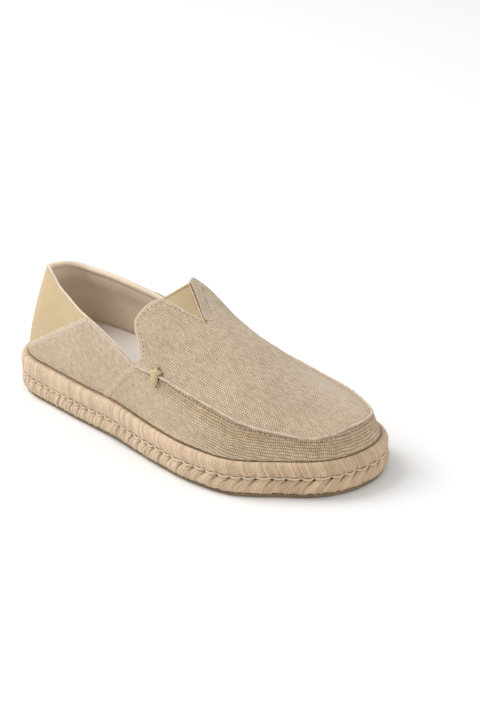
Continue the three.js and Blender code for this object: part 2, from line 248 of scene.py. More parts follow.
def on_wall(turn, rise):
    """Points of the side wall at turns and heights over the rope."""
    turn, rise = np.broadcast_arrays(np.asarray(turn, float), np.asarray(rise, float))
    x, y = plan(turn, 1.0, FEATHER)
    for _ in range(8):
        part = np.clip(rise / height_at(x, y), 0.0, 1.0)
        ring = (1 - part ** STATIONS.at("steepness", x)) ** (1 / STATIONS.at("fullness", x))
        x, y = plan(turn, ring, FEATHER)
    return np.stack([x, y, FEATHER_HEIGHT + lift(x) + rise], axis=-1)


def turn_of(x):
    """The turn of a station on the straight part of the outer side."""
    return (x - HEEL_ROUND) / (TOE_START - HEEL_ROUND)


def wall_table_point(turn, table, name):
    """Points of the wall at the height that a column of a table gives."""
    x = plan(turn, 1.0, FEATHER)[0]
    for _ in range(6):
        rise = table.at(name, x)
        points = on_wall(turn, rise)
        x = points[..., 0]
    return points, table.at(name, x)


def collar_rise(turn):
    turn = np.mod(turn + 0.5, 4.0) - 0.5
    outer = wall_table_point(turn, COLLAR, "outer")[1]
    inner = wall_table_point(turn, COLLAR, "inner")[1]
    return np.where(turn > TOE_TURN, inner, outer)


def seam_rise(turn):
    return wall_table_point(turn, SEAM, "rise")[1]


def catmull(points, t):
    """A smooth curve through a few points, t from 0 to 1."""
    points = np.array(points, float)
    last = len(points) - 1
    place = np.clip(np.asarray(t, float), 0, 1) * last
    k = np.minimum(np.floor(place).astype(int), last - 1)
    w = (place - k)[..., None]
    a, b = points[np.maximum(k - 1, 0)], points[k]
    c, d = points[k + 1], points[np.minimum(k + 2, last)]
    tangent_b, tangent_c = (c - a) / 2, (d - b) / 2
    return (
        (2 * b - 2 * c + tangent_b + tangent_c) * w ** 3
        + (-3 * b + 3 * c - 2 * tangent_b - tangent_c) * w ** 2
        + tangent_b * w
        + b
    )


CORNER = 0.40  # share of the throat's columns that lie between the seam and the V's corner


def throat_place(t, side):
    """Plan of the throat's edge: t is 0 at the seam, CORNER at the V's corner, 1 at its tip."""
    low = (LOW_POINT, float(ring_at(*on_wall(turn_of(LOW_POINT), SEAM.at("rise", LOW_POINT))[:2])))
    along_edge = catmull((low,) + THROAT, t / CORNER)
    along_v = lerp(np.array(THROAT[-1]), np.array((V_TIP_X, 0.0)), ((t - CORNER) / (1 - CORNER))[..., None])
    place = np.where((t <= CORNER)[..., None], along_edge, along_v)
    x, ring = place[..., 0], place[..., 1]
    return x, STATIONS.at("middle", x) + side * (STATIONS.at("half", x) - FEATHER) * ring


# ---------------------------------------------------------------------------------------------
# Grids of points
# ---------------------------------------------------------------------------------------------
def outline_origin():
    turns = np.linspace(0, 4, 401)[:-1]
    y = plan(turns, 1.0, 0.0)[1]
    return np.array([-LENGTH / 2, -(y.min() + y.max()) / 2, 0.0])


ORIGIN = outline_origin()


def normals_of(points, closed=False):
    """Unit normals of a grid of points; closed says that its columns run all the way round."""
    grid = np.concatenate([points[:, -2:-1], points, points[:, 1:2]], axis=1) if closed else points
    along = np.gradient(grid, axis=1)
    up = np.gradient(grid, axis=0)
    if closed:
        along, up = along[:, 1:-1], up[:, 1:-1]
    normal = np.cross(along, up)
    return normal / (np.linalg.norm(normal, axis=-1, keepdims=True) + 1e-9)


def creased(points, normals, strength=1.0):
    """The points, pressed in along their normals where the creases run."""
    depth = np.zeros(points.shape[:-1])
    for row in CREASES.rows:
        start, end, width, amount = row[0:3], row[3:6], row[6], row[7]
        line = end - start
        t = np.clip(((points - start) @ line) / (line @ line), 0, 1)
        near = points - (start + t[..., None] * line)
        distance = np.linalg.norm(near, axis=-1)
        fade = np.sin(math.pi * np.clip(lerp(0.12, 0.88, t), 0, 1))
        depth += amount * fade * np.exp(-((distance / width) ** 2))
    return points - normals * (strength * depth)[..., None]


def arc_along(x_from, y_from, x_to, y_to, steps=24):
    """Length over the upper's outside of straight lines in plan."""
    total = np.zeros(np.broadcast(x_from, x_to).shape)
    before = over_plan(x_from + 0 * total, y_from + 0 * total)
    for k in range(1, steps + 1):
        here = over_plan(lerp(x_from, x_to, k / steps), lerp(y_from, y_to, k / steps))
        total += np.linalg.norm(here - before, axis=-1)
        before = here
    return total


def perimeter_table(inset=0.0, count=4000):
    """Turns once round the sole from the heel, and the distance run at each."""
    turns = np.linspace(HEEL_TURN, HEEL_TURN + 4.0, count + 1)
    x, y = plan(turns, 1.0, inset)
    steps = np.hypot(np.diff(x), np.diff(y))
    return turns, np.concatenate([[0.0], np.cumsum(steps)])


TURNS, DISTANCES = perimeter_table()
PERIMETER = DISTANCES[-1]


def turn_at(distance):
    return np.interp(distance, DISTANCES, TURNS)


def distance_at(turn):
    return np.interp(turn, TURNS, DISTANCES)


# ---------------------------------------------------------------------------------------------
# Meshes
# ---------------------------------------------------------------------------------------------
def grid_bmesh(rows, columns):
    made = bmesh.new()
    bmesh.ops.create_grid(made, x_segments=columns - 1, y_segments=rows - 1, size=1.0)
    return made


def mesh_from_grid(name, points, uv, merge=None, flip=False, extra=None):
    """A smooth mesh from a grid of points. uv gives each point's place on the cloth, extra more
    named values for each point, and merge the distance at which doubled points are joined."""
    rows, columns = points.shape[:2]
    made = grid_bmesh(rows, columns)
    mesh = bpy.data.meshes.new(name)
    made.to_mesh(mesh)
    made.free()
    flat = np.empty(len(mesh.vertices) * 3)
    mesh.vertices.foreach_get("co", flat)
    unit = (flat.reshape(-1, 3)[:, :2] + 1) / 2
    column = np.rint(unit[:, 0] * (columns - 1)).astype(int)
    row = np.rint(unit[:, 1] * (rows - 1)).astype(int)
    placed = (points[row, column] + ORIGIN) * MM
    mesh.vertices.foreach_set("co", placed.ravel())
    corner = np.empty(len(mesh.loops), int)
    mesh.loops.foreach_get("vertex_index", corner)
    layer = mesh.uv_layers.new(name="UVMap")
    layer.data.foreach_set("uv", uv[row, column][corner].ravel())
    for title, values in (extra or {}).items():
        more = mesh.attributes.new(title, "FLOAT", "POINT")
        more.data.foreach_set("value", values[row, column].ravel())
    if merge or flip:
        made = bmesh.new()
        made.from_mesh(mesh)
        if merge:
            bmesh.ops.remove_doubles(made, verts=made.verts, dist=merge * MM)
        if flip:
            bmesh.ops.reverse_faces(made, faces=made.faces)
        made.to_mesh(mesh)
        made.free()
    mesh.polygons.foreach_set("use_smooth", np.ones(len(mesh.polygons), bool))
    mesh.update()
    return mesh


def joined(name, meshes, merge=None):
    """One mesh from several."""
    made = bmesh.new()
    for mesh in meshes:
        made.from_mesh(mesh)
    if merge:
        bmesh.ops.remove_doubles(made, verts=made.verts, dist=merge * MM)
    whole = bpy.data.meshes.new(name)
    made.to_mesh(whole)
    made.free()
    for mesh in meshes:
        bpy.data.meshes.remove(mesh)
    whole.polygons.foreach_set("use_smooth", np.ones(len(whole.polygons), bool))
    return whole


def piece(name, mesh, material, replaced=(), thickness=None):
    """Puts a mesh in the scene as a piece of the shoe."""
    made = bpy.data.objects.new(name, mesh)
    bpy.context.scene.collection.objects.link(made)
    made.data.materials.clear()
    made.data.materials.append(material)
    if thickness:
        wall = made.modifiers.new("Thickness", "SOLIDIFY")
        wall.thickness = thickness * MM
        wall.offset = -1.0
    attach(made, "root")
    if replaced:
        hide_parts(*replaced)
    return made


def frames_along(path, closed=False):
    """Unit vectors ahead, one for each point of a path."""
    if closed:
        ahead = np.roll(path[:-1], -1, axis=0) - np.roll(path[:-1], 1, axis=0)
        ahead = np.concatenate([ahead, ahead[:1]])
    else:
        ahead = np.gradient(path, axis=0)
    ahead = ahead / (np.linalg.norm(ahead, axis=1, keepdims=True) + 1e-9)
    return ahead


def tube_mesh(name, path, normals, width, height, sides=8, closed=False):
    """A tube along a path. normals point away from the shoe, and the section is an ellipse of
    the half sizes width, along the surface, and height, square to it."""
    ahead = frames_along(path, closed)
    out = normals - (normals * ahead).sum(1, keepdims=True) * ahead
    out = out / (np.linalg.norm(out, axis=1, keepdims=True) + 1e-9)
    beside = np.cross(ahead, out)
    angle = np.linspace(0, 2 * math.pi, sides + 1)
    width = np.broadcast_to(width, len(path))
    height = np.broadcast_to(height, len(path))
    points = (
        path[:, None]
        + beside[:, None] * (width[:, None] * np.cos(angle))[..., None]
        + out[:, None] * (height[:, None] * np.sin(angle))[..., None]
    )
    if not closed:
        points = np.concatenate([np.repeat(path[:1, None], sides + 1, 1), points,
                                 np.repeat(path[-1:, None], sides + 1, 1)])
    steps = np.linalg.norm(np.diff(points.mean(axis=1), axis=0), axis=1)
    run = np.concatenate([[0.0], np.cumsum(steps)])
    uv = np.stack(np.broadcast_arrays(run[:, None], np.linspace(0, 1, sides + 1)[None]), axis=-1)
    return mesh_from_grid(name, points, uv, merge=0.001, flip=True)


# ---------------------------------------------------------------------------------------------
# Shader nodes
# ---------------------------------------------------------------------------------------------
class Tree:
    """Short calls for laying out the nodes of a material or a group."""

    def __init__(self, tree):
        self.tree = tree
        self.count = 0

    def add(self, kind, inputs=None, **settings):
        node = self.tree.nodes.new(kind)
        node.location = (200 * (self.count % 8), -260 * (self.count // 8))
        self.count += 1
        for name, value in settings.items():
            setattr(node, name, value)
        for name, value in (inputs or {}).items():
            if isinstance(value, bpy.types.NodeSocket):
                self.tree.links.new(value, node.inputs[name])
            else:
                node.inputs[name].default_value = value
        return node

    def math(self, operation, *values, clamp=False):
        inputs = dict(enumerate(values))
        return self.add("ShaderNodeMath", inputs, operation=operation, use_clamp=clamp).outputs[0]

    def mix(self, factor, a, b, blend="MIX"):
        node = self.add("ShaderNodeMix", data_type="RGBA", blend_type=blend)
        for socket, value in ((node.inputs[0], factor), (node.inputs[6], a), (node.inputs[7], b)):
            if isinstance(value, bpy.types.NodeSocket):
                self.tree.links.new(value, socket)
            else:
                socket.default_value = value
        return node.outputs[2]

    def span(self, value, low, high, to_low=0.0, to_high=1.0):
        inputs = {0: value, 1: low, 2: high, 3: to_low, 4: to_high}
        return self.add("ShaderNodeMapRange", inputs, clamp=True).outputs[0]

    def noise(self, vector, scale, detail=2.0, roughness=0.5):
        inputs = {"Vector": vector, "Scale": scale, "Detail": detail, "Roughness": roughness}
        return self.add("ShaderNodeTexNoise", inputs)

    def scaled(self, vector, factors):
        inputs = {0: vector, 1: factors}
        return self.add("ShaderNodeVectorMath", inputs, operation="MULTIPLY").outputs[0]

    def parts(self, vector):
        return self.add("ShaderNodeSeparateXYZ", {0: vector}).outputs

    def joined(self, x, y, z=0.0):
        return self.add("ShaderNodeCombineXYZ", {0: x, 1: y, 2: z}).outputs[0]


def group(name, inputs, outputs):
    """An empty shader node group with named sockets."""
    made = bpy.data.node_groups.new(name, "ShaderNodeTree")
    for title, kind, value in inputs:
        socket = made.interface.new_socket(title, in_out="INPUT", socket_type=kind)
        if value is not None:
            socket.default_value = value
    for title, kind in outputs:
        made.interface.new_socket(title, in_out="OUTPUT", socket_type=kind)
    tree = Tree(made)
    start = tree.add("NodeGroupInput").outputs
    end = tree.add("NodeGroupOutput").inputs
    return made, tree, start, end


def weave_group():
    """Coarse plain cloth: rows of slubby yarn. Vector is the place on the cloth in millimetres."""
    name = "Canvas Weave"
    if name in bpy.data.node_groups:
        return bpy.data.node_groups[name]
    made, tree, start, end = group(
        name,
        [
            ("Vector", "NodeSocketVector", None),
            ("Row Pitch", "NodeSocketFloat", 1.4),
            ("Bead Pitch", "NodeSocketFloat", 1.35),
            ("Slub", "NodeSocketFloat", 0.5),
        ],
        [("Height", "NodeSocketFloat"), ("Thread", "NodeSocketFloat"), ("Tone", "NodeSocketFloat")],
    )
    wander = tree.noise(start["Vector"], 0.12, 3.0)
    centred = tree.add("ShaderNodeVectorMath", {0: wander.outputs["Color"], 1: (0.5, 0.5, 0.5)},
                       operation="SUBTRACT").outputs[0]
    shift = tree.scaled(centred, (2.0, 2.0, 0.0))
    place = tree.add("ShaderNodeVectorMath", {0: start["Vector"], 1: shift}, operation="ADD").outputs[0]
    parts = tree.parts(place)
    row = tree.math("DIVIDE", parts[1], start["Row Pitch"])
    number = tree.math("FLOOR", row)
    across = tree.math("FRACT", row)
    odd = tree.math("MULTIPLY", tree.math("FLOORED_MODULO", number, 2.0), 0.5)
    jitter = tree.add("ShaderNodeTexWhiteNoise", {"W": number}, noise_dimensions="1D").outputs["Value"]
    bead = tree.math("ADD", tree.math("DIVIDE", parts[0], start["Bead Pitch"]), odd)
    bead = tree.math("ADD", bead, tree.math("MULTIPLY", jitter, 0.3))
    ridge = tree.math("POWER", tree.math("SINE", tree.math("MULTIPLY", across, math.pi)), 0.6)
    swell = tree.math("COSINE", tree.math("MULTIPLY", bead, 2 * math.pi))
    swell = tree.math("ADD", tree.math("MULTIPLY", swell, 0.5), 0.5)
    along_row = tree.joined(tree.math("MULTIPLY", parts[0], 0.22), tree.math("MULTIPLY", number, 3.7))
    slub = tree.noise(along_row, 1.0, 2.0).outputs[0]
    slub = tree.span(slub, 0.3, 0.7, -1.0, 1.0)
    thick = tree.math("ADD", 1.0, tree.math("MULTIPLY", slub, tree.math("MULTIPLY", start["Slub"], 0.35)))
    height = tree.math("MULTIPLY", ridge, tree.math("ADD", 0.25, tree.math("MULTIPLY", swell, 0.75)))
    height = tree.math("MULTIPLY", height, thick)
    tree.tree.links.new(height, end["Height"])
    # Thread is high on the raised yarn and low between the yarns, where the canvas gets painted shade.
    tree.tree.links.new(tree.span(height, 0.12, 0.72), end["Thread"])
    tree.tree.links.new(tree.math("ADD", 0.5, tree.math("MULTIPLY", slub, 0.5)), end["Tone"])
    return made


def wear_group():
    """Uneven tone over a piece: broad soft patches and fine specks. Vector is in metres."""
    name = "Handled Tone"
    if name in bpy.data.node_groups:
        return bpy.data.node_groups[name]
    made, tree, start, end = group(
        name,
        [
            ("Vector", "NodeSocketVector", None),
            ("Colour", "NodeSocketColor", (0.5, 0.5, 0.5, 1.0)),
            ("Patches", "NodeSocketFloat", 0.1),
            ("Specks", "NodeSocketFloat", 0.05),
        ],
        [("Colour", "NodeSocketColor"), ("Patch", "NodeSocketFloat")],
    )
    patch = tree.noise(start["Vector"], 26.0, 3.0, 0.6).outputs[0]
    patch = tree.span(patch, 0.3, 0.7, -1.0, 1.0)
    speck = tree.noise(start["Vector"], 900.0, 2.0, 0.7).outputs[0]
    speck = tree.span(speck, 0.3, 0.7, -1.0, 1.0)
    change = tree.math("ADD", tree.math("MULTIPLY", patch, start["Patches"]),
                       tree.math("MULTIPLY", speck, start["Specks"]))
    value = tree.math("ADD", 1.0, change)
    toned = tree.add("ShaderNodeHueSaturation", {"Color": start["Colour"], "Value": value}).outputs[0]
    tree.tree.links.new(toned, end["Colour"])
    tree.tree.links.new(patch, end["Patch"])
    return made


def yarn_group():
    """Jute yarns laid side by side. Vector x counts the yarns and y runs along them in
    millimetres."""
    name = "Jute Yarn"
    if name in bpy.data.node_groups:
        return bpy.data.node_groups[name]
    made, tree, start, end = group(
        name,
        [("Vector", "NodeSocketVector", None), ("Contrast", "NodeSocketFloat", 0.2)],
        [("Height", "NodeSocketFloat"), ("Tone", "NodeSocketFloat"), ("Gap Shade", "NodeSocketFloat")],
    )
    parts = tree.parts(start["Vector"])
    number = tree.math("FLOOR", parts[0])
    across = tree.math("FRACT", parts[0])
    each = tree.add("ShaderNodeTexWhiteNoise", {"W": number}, noise_dimensions="1D").outputs["Value"]
    fibre_place = tree.joined(tree.math("MULTIPLY", parts[0], 2.2), tree.math("MULTIPLY", parts[1], 0.5))
    fibre = tree.noise(fibre_place, 1.0, 4.0, 0.75).outputs[0]
    edge = tree.math("SINE", tree.math("MULTIPLY", across, math.pi))
    tree.tree.links.new(fibre, end["Height"])
    varied = tree.math("MULTIPLY", tree.math("SUBTRACT", each, 0.5), start["Contrast"])
    fibres = tree.math(
        "MULTIPLY",
        tree.math("SUBTRACT", fibre, 0.5),
        tree.math("MULTIPLY", start["Contrast"], 3.0),
    )
    tree.tree.links.new(tree.math("ADD", tree.math("ADD", varied, fibres), 1.0), end["Tone"])
    # The gap output is 1 at each yarn's edges, where the jute material paints shade between yarns.
    tree.tree.links.new(tree.span(edge, 0.0, 0.5, 1.0, 0.0), end["Gap Shade"])
    return made


def new_material(name):
    """An empty node material, its tree helper and its finished surface shader."""
    made = bpy.data.materials.new(name)
    made.use_nodes = True
    made.node_tree.nodes.clear()
    tree = Tree(made.node_tree)
    shader = tree.add("ShaderNodeBsdfPrincipled")
    output = tree.add("ShaderNodeOutputMaterial")
    made.node_tree.links.new(shader.outputs[0], output.inputs[0])
    return made, tree, shader


def wired(tree, shader, colour, height, distance, strength=1.0, roughness=None):
    """Joins a colour and a bump height to a shader."""
    bump = tree.add("ShaderNodeBump", {"Height": height, "Distance": distance, "Strength": strength})
    tree.tree.links.new(colour, shader.inputs["Base Color"])
    tree.tree.links.new(bump.outputs[0], shader.inputs["Normal"])
    if roughness is not None:
        tree.tree.links.new(roughness, shader.inputs["Roughness"])


def placed_group(tree, made, inputs):
    return tree.add("ShaderNodeGroup", inputs, node_tree=made).outputs


def canvas_material(name, colours, row_pitch=1.4, relief=0.4):
    """Linen canvas in two tones, raised yarn and painted shade between the yarns, with the weave following
    the cloth's own UV map.
    """
    if name in bpy.data.materials:
        return bpy.data.materials[name]
    made, tree, shader = new_material(name)
    shader.inputs["Roughness"].default_value = 0.92
    shader.inputs["Sheen Weight"].default_value = 0.18
    shader.inputs["Sheen Roughness"].default_value = 0.5
    shader.inputs["Specular IOR Level"].default_value = 0.15
    cloth = tree.add("ShaderNodeUVMap", uv_map="UVMap").outputs[0]
    weave = placed_group(tree, weave_group(), {"Vector": cloth, "Row Pitch": row_pitch})
    place = tree.add("ShaderNodeTexCoord").outputs["Object"]
    dark, light = colours
    # The low places of the weave take the gap colour: painted shade between the yarns.
    yarn = tree.mix(weave["Thread"], (*dark, 1.0), (*light, 1.0))
    toned = tree.math("ADD", 0.88, tree.math("MULTIPLY", weave["Tone"], 0.24))
    yarn = tree.add("ShaderNodeHueSaturation", {"Color": yarn, "Value": toned}).outputs[0]
    wear = {"Vector": place, "Colour": yarn, "Patches": 0.06, "Specks": 0.07}
    tone = placed_group(tree, wear_group(), wear)
    # edge makes the canvas paler: the cloth's frayed edges and hems, and painted highlight on the apron's
    # sheen patches and along the seam pipe.
    edge = tree.add("ShaderNodeAttribute", attribute_name="edge").outputs["Fac"]
    paler = (*[lerp(c, 0.85, 0.3) for c in light], 1.0)
    pale = tree.mix(tree.math("MULTIPLY", edge, 0.45), tone["Colour"], paler)
    # shade tints the canvas darker and olive: painted shade on the side wall, towards the toe and in the
    # hollow under the seam.
    shade = tree.add("ShaderNodeAttribute", attribute_name="shade").outputs["Fac"]
    shade_tinted = tree.mix(shade, pale, (0.76, 0.70, 0.55, 1.0), "MULTIPLY")
    wired(tree, shader, shade_tinted, weave["Height"], relief * MM)
    return made


def leather_material(name, colour, ribbed=False, roughness=0.55):
    """Soft matt leather with a fine grain, or with the fine ribs of the gore and painted shade in their
    troughs.
    """
    if name in bpy.data.materials:
        return bpy.data.materials[name]
    made, tree, shader = new_material(name)
    shader.inputs["Roughness"].default_value = roughness
    shader.inputs["Specular IOR Level"].default_value = 0.35
    place = tree.add("ShaderNodeTexCoord").outputs["Object"]
    cells = tree.add("ShaderNodeTexVoronoi", {"Vector": place, "Scale": 1500.0}, feature="DISTANCE_TO_EDGE")
    grain = tree.math("MULTIPLY", tree.span(cells.outputs["Distance"], 0.0, 0.12), 0.5)
    grain = tree.math("ADD", grain, tree.noise(place, 420.0, 3.0).outputs[0])
    tone = placed_group(tree, wear_group(),
                        {"Vector": place, "Colour": (*colour, 1.0), "Patches": 0.09, "Specks": 0.03})
    final = tone["Colour"]
    if ribbed:
        cloth = tree.add("ShaderNodeUVMap", uv_map="UVMap").outputs[0]
        rib = tree.math("SINE", tree.math("MULTIPLY", tree.parts(cloth)[1], 2 * math.pi / 1.1))
        rib = tree.math("ADD", tree.math("MULTIPLY", rib, 0.5), 0.5)
        grain = tree.math("ADD", tree.math("MULTIPLY", rib, 1.4), grain)
        # The troughs between the ribs are darkened: painted shade.
        final = tree.mix(tree.span(rib, 0.0, 1.0, 0.16, 0.0), final, (*[c * 0.55 for c in colour], 1.0))
    wired(tree, shader, final, grain, 0.12 * MM)
    return made


def cloth_material(name, colour, scale, relief, roughness=0.85, sheen=0.25):
    """Close smooth cloth: the lining and the insole."""
    if name in bpy.data.materials:
        return bpy.data.materials[name]
    made, tree, shader = new_material(name)
    shader.inputs["Roughness"].default_value = roughness
    shader.inputs["Sheen Weight"].default_value = sheen
    shader.inputs["Specular IOR Level"].default_value = 0.2
    place = tree.add("ShaderNodeTexCoord").outputs["Object"]
    fine = tree.noise(place, scale, 4.0, 0.7).outputs[0]
    tone = placed_group(tree, wear_group(),
                        {"Vector": place, "Colour": (*colour, 1.0), "Patches": 0.06, "Specks": 0.06})
    wired(tree, shader, tone["Colour"], fine, relief * MM)
    return made


def jute_material(name, colour, contrast, gap_shade_colour):
    """Wrapped jute: each yarn has its own tone and fine fibres along it, with painted shade in the gaps
    between yarns, in the recesses that the mesh marks and towards the toe.
    """
    if name in bpy.data.materials:
        return bpy.data.materials[name]
    made, tree, shader = new_material(name)
    shader.inputs["Roughness"].default_value = 0.88
    shader.inputs["Sheen Weight"].default_value = 0.25
    shader.inputs["Sheen Roughness"].default_value = 0.4
    shader.inputs["Specular IOR Level"].default_value = 0.2
    cloth = tree.add("ShaderNodeUVMap", uv_map="UVMap").outputs[0]
    yarn = placed_group(tree, yarn_group(), {"Vector": cloth, "Contrast": contrast})
    place = tree.add("ShaderNodeTexCoord").outputs["Object"]
    toned = tree.add("ShaderNodeHueSaturation", {"Color": (*colour, 1.0), "Value": yarn["Tone"]}).outputs[0]
    wear = {"Vector": place, "Colour": toned, "Patches": 0.08, "Specks": 0.08}
    tone = placed_group(tree, wear_group(), wear)
    # The yarns' gaps and the recesses that the mesh marks take the gap colour: painted shade.
    recess_shade = tree.add("ShaderNodeAttribute", attribute_name="recess_shade").outputs["Fac"]
    shade = tree.math("MAXIMUM", tree.math("MULTIPLY", yarn["Gap Shade"], 0.22), tree.math("MULTIPLY", recess_shade, 0.9))
    # The toe half of the rope is darkened and browned: painted shade.
    toe_shade = tree.span(tree.parts(place)[0], 0.02, 0.14)
    tan = (0.86, 0.81, 0.755, 1.0)
    toe_shaded = tree.mix(tree.math("MULTIPLY", toe_shade, 0.75), tone["Colour"], tan, "MULTIPLY")
    final = tree.mix(shade, toe_shaded, (*gap_shade_colour, 1.0))
    wired(tree, shader, final, yarn["Height"], 0.25 * MM)
    return made


def thread_material(name, colour, roughness=0.7):
    """Twisted thread: fine slanting strands along its own UV map, with painted shade in the grooves between
    them.
    """
    if name in bpy.data.materials:
        return bpy.data.materials[name]
    made, tree, shader = new_material(name)
    shader.inputs["Roughness"].default_value = roughness
    shader.inputs["Sheen Weight"].default_value = 0.15
    shader.inputs["Specular IOR Level"].default_value = 0.25
    parts = tree.parts(tree.add("ShaderNodeUVMap", uv_map="UVMap").outputs[0])
    twist = tree.math("ADD", tree.math("MULTIPLY", parts[0], 1.1), tree.math("MULTIPLY", parts[1], 2.0))
    strand = tree.math("ABSOLUTE", tree.math("SINE", tree.math("MULTIPLY", twist, math.pi)))
    place = tree.add("ShaderNodeTexCoord").outputs["Object"]
    tone = placed_group(tree, wear_group(),
                        {"Vector": place, "Colour": (*colour, 1.0), "Patches": 0.1, "Specks": 0.08})
    # The grooves between the strands are darkened: painted shade.
    groove_shade = (*[c * 0.5 for c in colour], 1.0)
    final = tree.mix(tree.span(strand, 0.0, 0.6, 0.4, 0.0), tone["Colour"], groove_shade)
    wired(tree, shader, final, strand, 0.2 * MM)
    return made


def rubber_material(name, colour):
    if name in bpy.data.materials:
        return bpy.data.materials[name]
    made, tree, shader = new_material(name)
    shader.inputs["Roughness"].default_value = 0.7
    place = tree.add("ShaderNodeTexCoord").outputs["Object"]
    fine = tree.noise(place, 1200.0, 3.0, 0.7).outputs[0]
    tone = placed_group(tree, wear_group(),
                        {"Vector": place, "Colour": (*colour, 1.0), "Patches": 0.15, "Specks": 0.1})
    wired(tree, shader, tone["Colour"], fine, 0.1 * MM)
    return made


# ---------------------------------------------------------------------------------------------
# The sewn panels of the upper
# ---------------------------------------------------------------------------------------------
SEAM_FOOT_X = 112.0
LOW_TURN = turn_of(LOW_POINT)
COUNTER_TURN = turn_of(COUNTER_EDGE["end"])
# Rows that tuck the canvas's lower edge in behind the rope: distances inward and down.
FOOT_TUCK = ((1.7, -1.2), (0.7, -0.7), (0.15, -0.25))
# Ahead of the ball of the foot the canvas's lower edge is let down by this much, over a ramp.
FOOT_DROP = 2.0
BALL_X = 190.0
BALL_RAMP = 60.0


def quarter_seam_turn(t):
    """Turn of the slanting quarter seam on the outer side, from the rope (0) to the collar (1)."""
    return turn_of(lerp(SEAM_FOOT_X, LOW_POINT, t))


def counter_edge_rise(turn):
    x = plan(turn, 1.0, FEATHER)[0]
    return COUNTER_EDGE["rise"] + COUNTER_EDGE["slope"] * np.maximum(0.0, x - COUNTER_EDGE["x"])


def quarter_top(turn):
    """The top of the quarter's canvas: the counter's edge, and the collar ahead of it."""
    low, high = counter_edge_rise(turn), collar_rise(turn)
    blend = 0.6
    return low + high - np.logaddexp(low / blend, high / blend) * blend


def with_foot(points, normals):
    """Adds rows under a wall that tuck its foot into the crevice on the rope."""
    foot, out = points[0], normals[0] * (1, 1, 0)
    out = out / (np.linalg.norm(out, axis=-1, keepdims=True) + 1e-9)
    rows = [foot - out * inward + np.array((0, 0, down)) for inward, down in FOOT_TUCK]
    return np.concatenate([np.array(rows), points])


def wall_grid(turns, rises, closed=False):
    """Creased points of the side wall and their normals."""
    points = on_wall(turns, rises)
    normals = normals_of(points, closed)
    return creased(points, normals), normals


def side_wall_turns(columns, rows):
    t = np.linspace(0, 1, rows)[:, None]
    s = np.linspace(0, 1, columns)[None]
    back = quarter_seam_turn(t)
    return lerp(back, 3 - back, s), t


def side_wall_mesh():
    """Canvas round the toe, from the quarter seam on one side to the one on the other."""
    turns, t = side_wall_turns(360, 30)
    rises = t * (seam_rise(turns) - 0.4)
    points, normals = wall_grid(turns, rises)
    ahead = smooth((points[..., 0] - LOW_POINT) / 40)
    ridge = np.exp(-(((rises - seam_rise(turns)) / 2.2) ** 2)) * smooth((points[..., 0] - LOW_POINT) / 14)
    hollow = np.exp(-(((rises - seam_rise(turns) + 5.0) / 2.6) ** 2)) * ahead
    overhang = np.exp(-((rises / 3.0) ** 2)) * ahead
    points = points + normals * (0.5 * ridge - 0.5 * hollow + 1.2 * overhang)[..., None]
    front = smooth((points[..., 0] - BALL_X) / BALL_RAMP)
    points[..., 2] -= FOOT_DROP * front * np.exp(-((rises / 4.0) ** 2))
    run = distance_at(turns) - distance_at(TOE_TURN)
    half = distance_at(TOE_TURN) - distance_at(LOW_TURN)
    away = np.abs(run) / half
    climb = 26.0 * away ** 2.2
    uv = np.stack([run, rises - climb], axis=-1)
    edge = smooth(1 - (rises / 3.0)) * 0.5
    # Painted shade: darker towards the toe, and in the hollow under the apron seam.
    shade = 0.3 * smooth((points[..., 0] - LOW_POINT) / 90) + 0.35 * hollow
    points, uv = with_foot(points, normals), pad_rows(uv)
    return mesh_from_grid("side_wall", points, uv, extra={"edge": pad_rows(edge), "shade": pad_rows(shade)})


def feather_mesh():
    """A dark tube in the crevice in which the canvas meets the rope, all round: painted shade of the
    crevice.
    """
    distance = np.linspace(0, PERIMETER, 900)[:-1]
    turns = turn_at(distance)
    front = smooth((plan(turns, 1.0, FEATHER)[0] - BALL_X) / BALL_RAMP)
    rough = lumps(len(turns), 31, 2)
    path, normals = surface_line(turns, rope_crown(distance) + 0.55 + 0.25 * rough)
    ahead = smooth((path[..., 0] - LOW_POINT) / 40)
    path = path + normals * (0.05 + 1.2 * ahead)[:, None]
    path[:, 2] -= FOOT_DROP * 0.35 * front
    path, normals = (np.concatenate([values, values[:1]]) for values in (path, normals))
    return tube_mesh("feather_shade", path, normals, 0.45, 0.45, sides=6, closed=True)


def pad_rows(values):
    return np.concatenate([np.repeat(values[:1], len(FOOT_TUCK), 0), values])


def quarters_mesh():
    """Canvas of both quarters and under the counter, in one piece round the heel."""
    t = np.linspace(0, 1, 26)[:, None]
    s = np.linspace(0, 1, 260)[None]
    ahead = quarter_seam_turn(t)
    turns = lerp(-1 - ahead, ahead, s)
    top = quarter_top(turns)
    rises = t * top
    points, normals = wall_grid(turns, rises)
    run = distance_at(np.abs(turns - HEEL_TURN) + HEEL_TURN)
    uv = np.stack([run, rises + 0.27 * run], axis=-1)
    near_top = smooth(1 - (top - rises) / 3.5)
    points, uv, edge = with_foot(points, normals), pad_rows(uv), pad_rows(near_top * 0.8)
    return mesh_from_grid("quarters", points, uv, extra={"edge": edge})


def apron_rows(columns, rows, start=0.0, end=1.0):
    """Places in plan of the apron, and how far each lies from the seam towards the throat."""
    s = np.linspace(0, 1, columns)
    turns = lerp(LOW_TURN, 3 - LOW_TURN, s)
    seam = wall_table_point(turns, SEAM, "rise")[0]
    inner = s > 0.5
    half = np.where(inner, 1 - s, s) * 2
    edge_x, edge_y = throat_place(half, np.where(inner, 1.0, -1.0))
    t = np.linspace(start, end, rows)[:, None]
    x = lerp(seam[:, 0], edge_x, t)
    y = lerp(seam[:, 1], edge_y, t)
    return x, y, t


# Places on the apron painted paler as a painted sheen highlight: x, y, reach and strength.
SHEEN_PATCHES = ((246, 20, 22, 0.55), (186, 26, 20, 0.4), (160, 8, 12, 0.3))


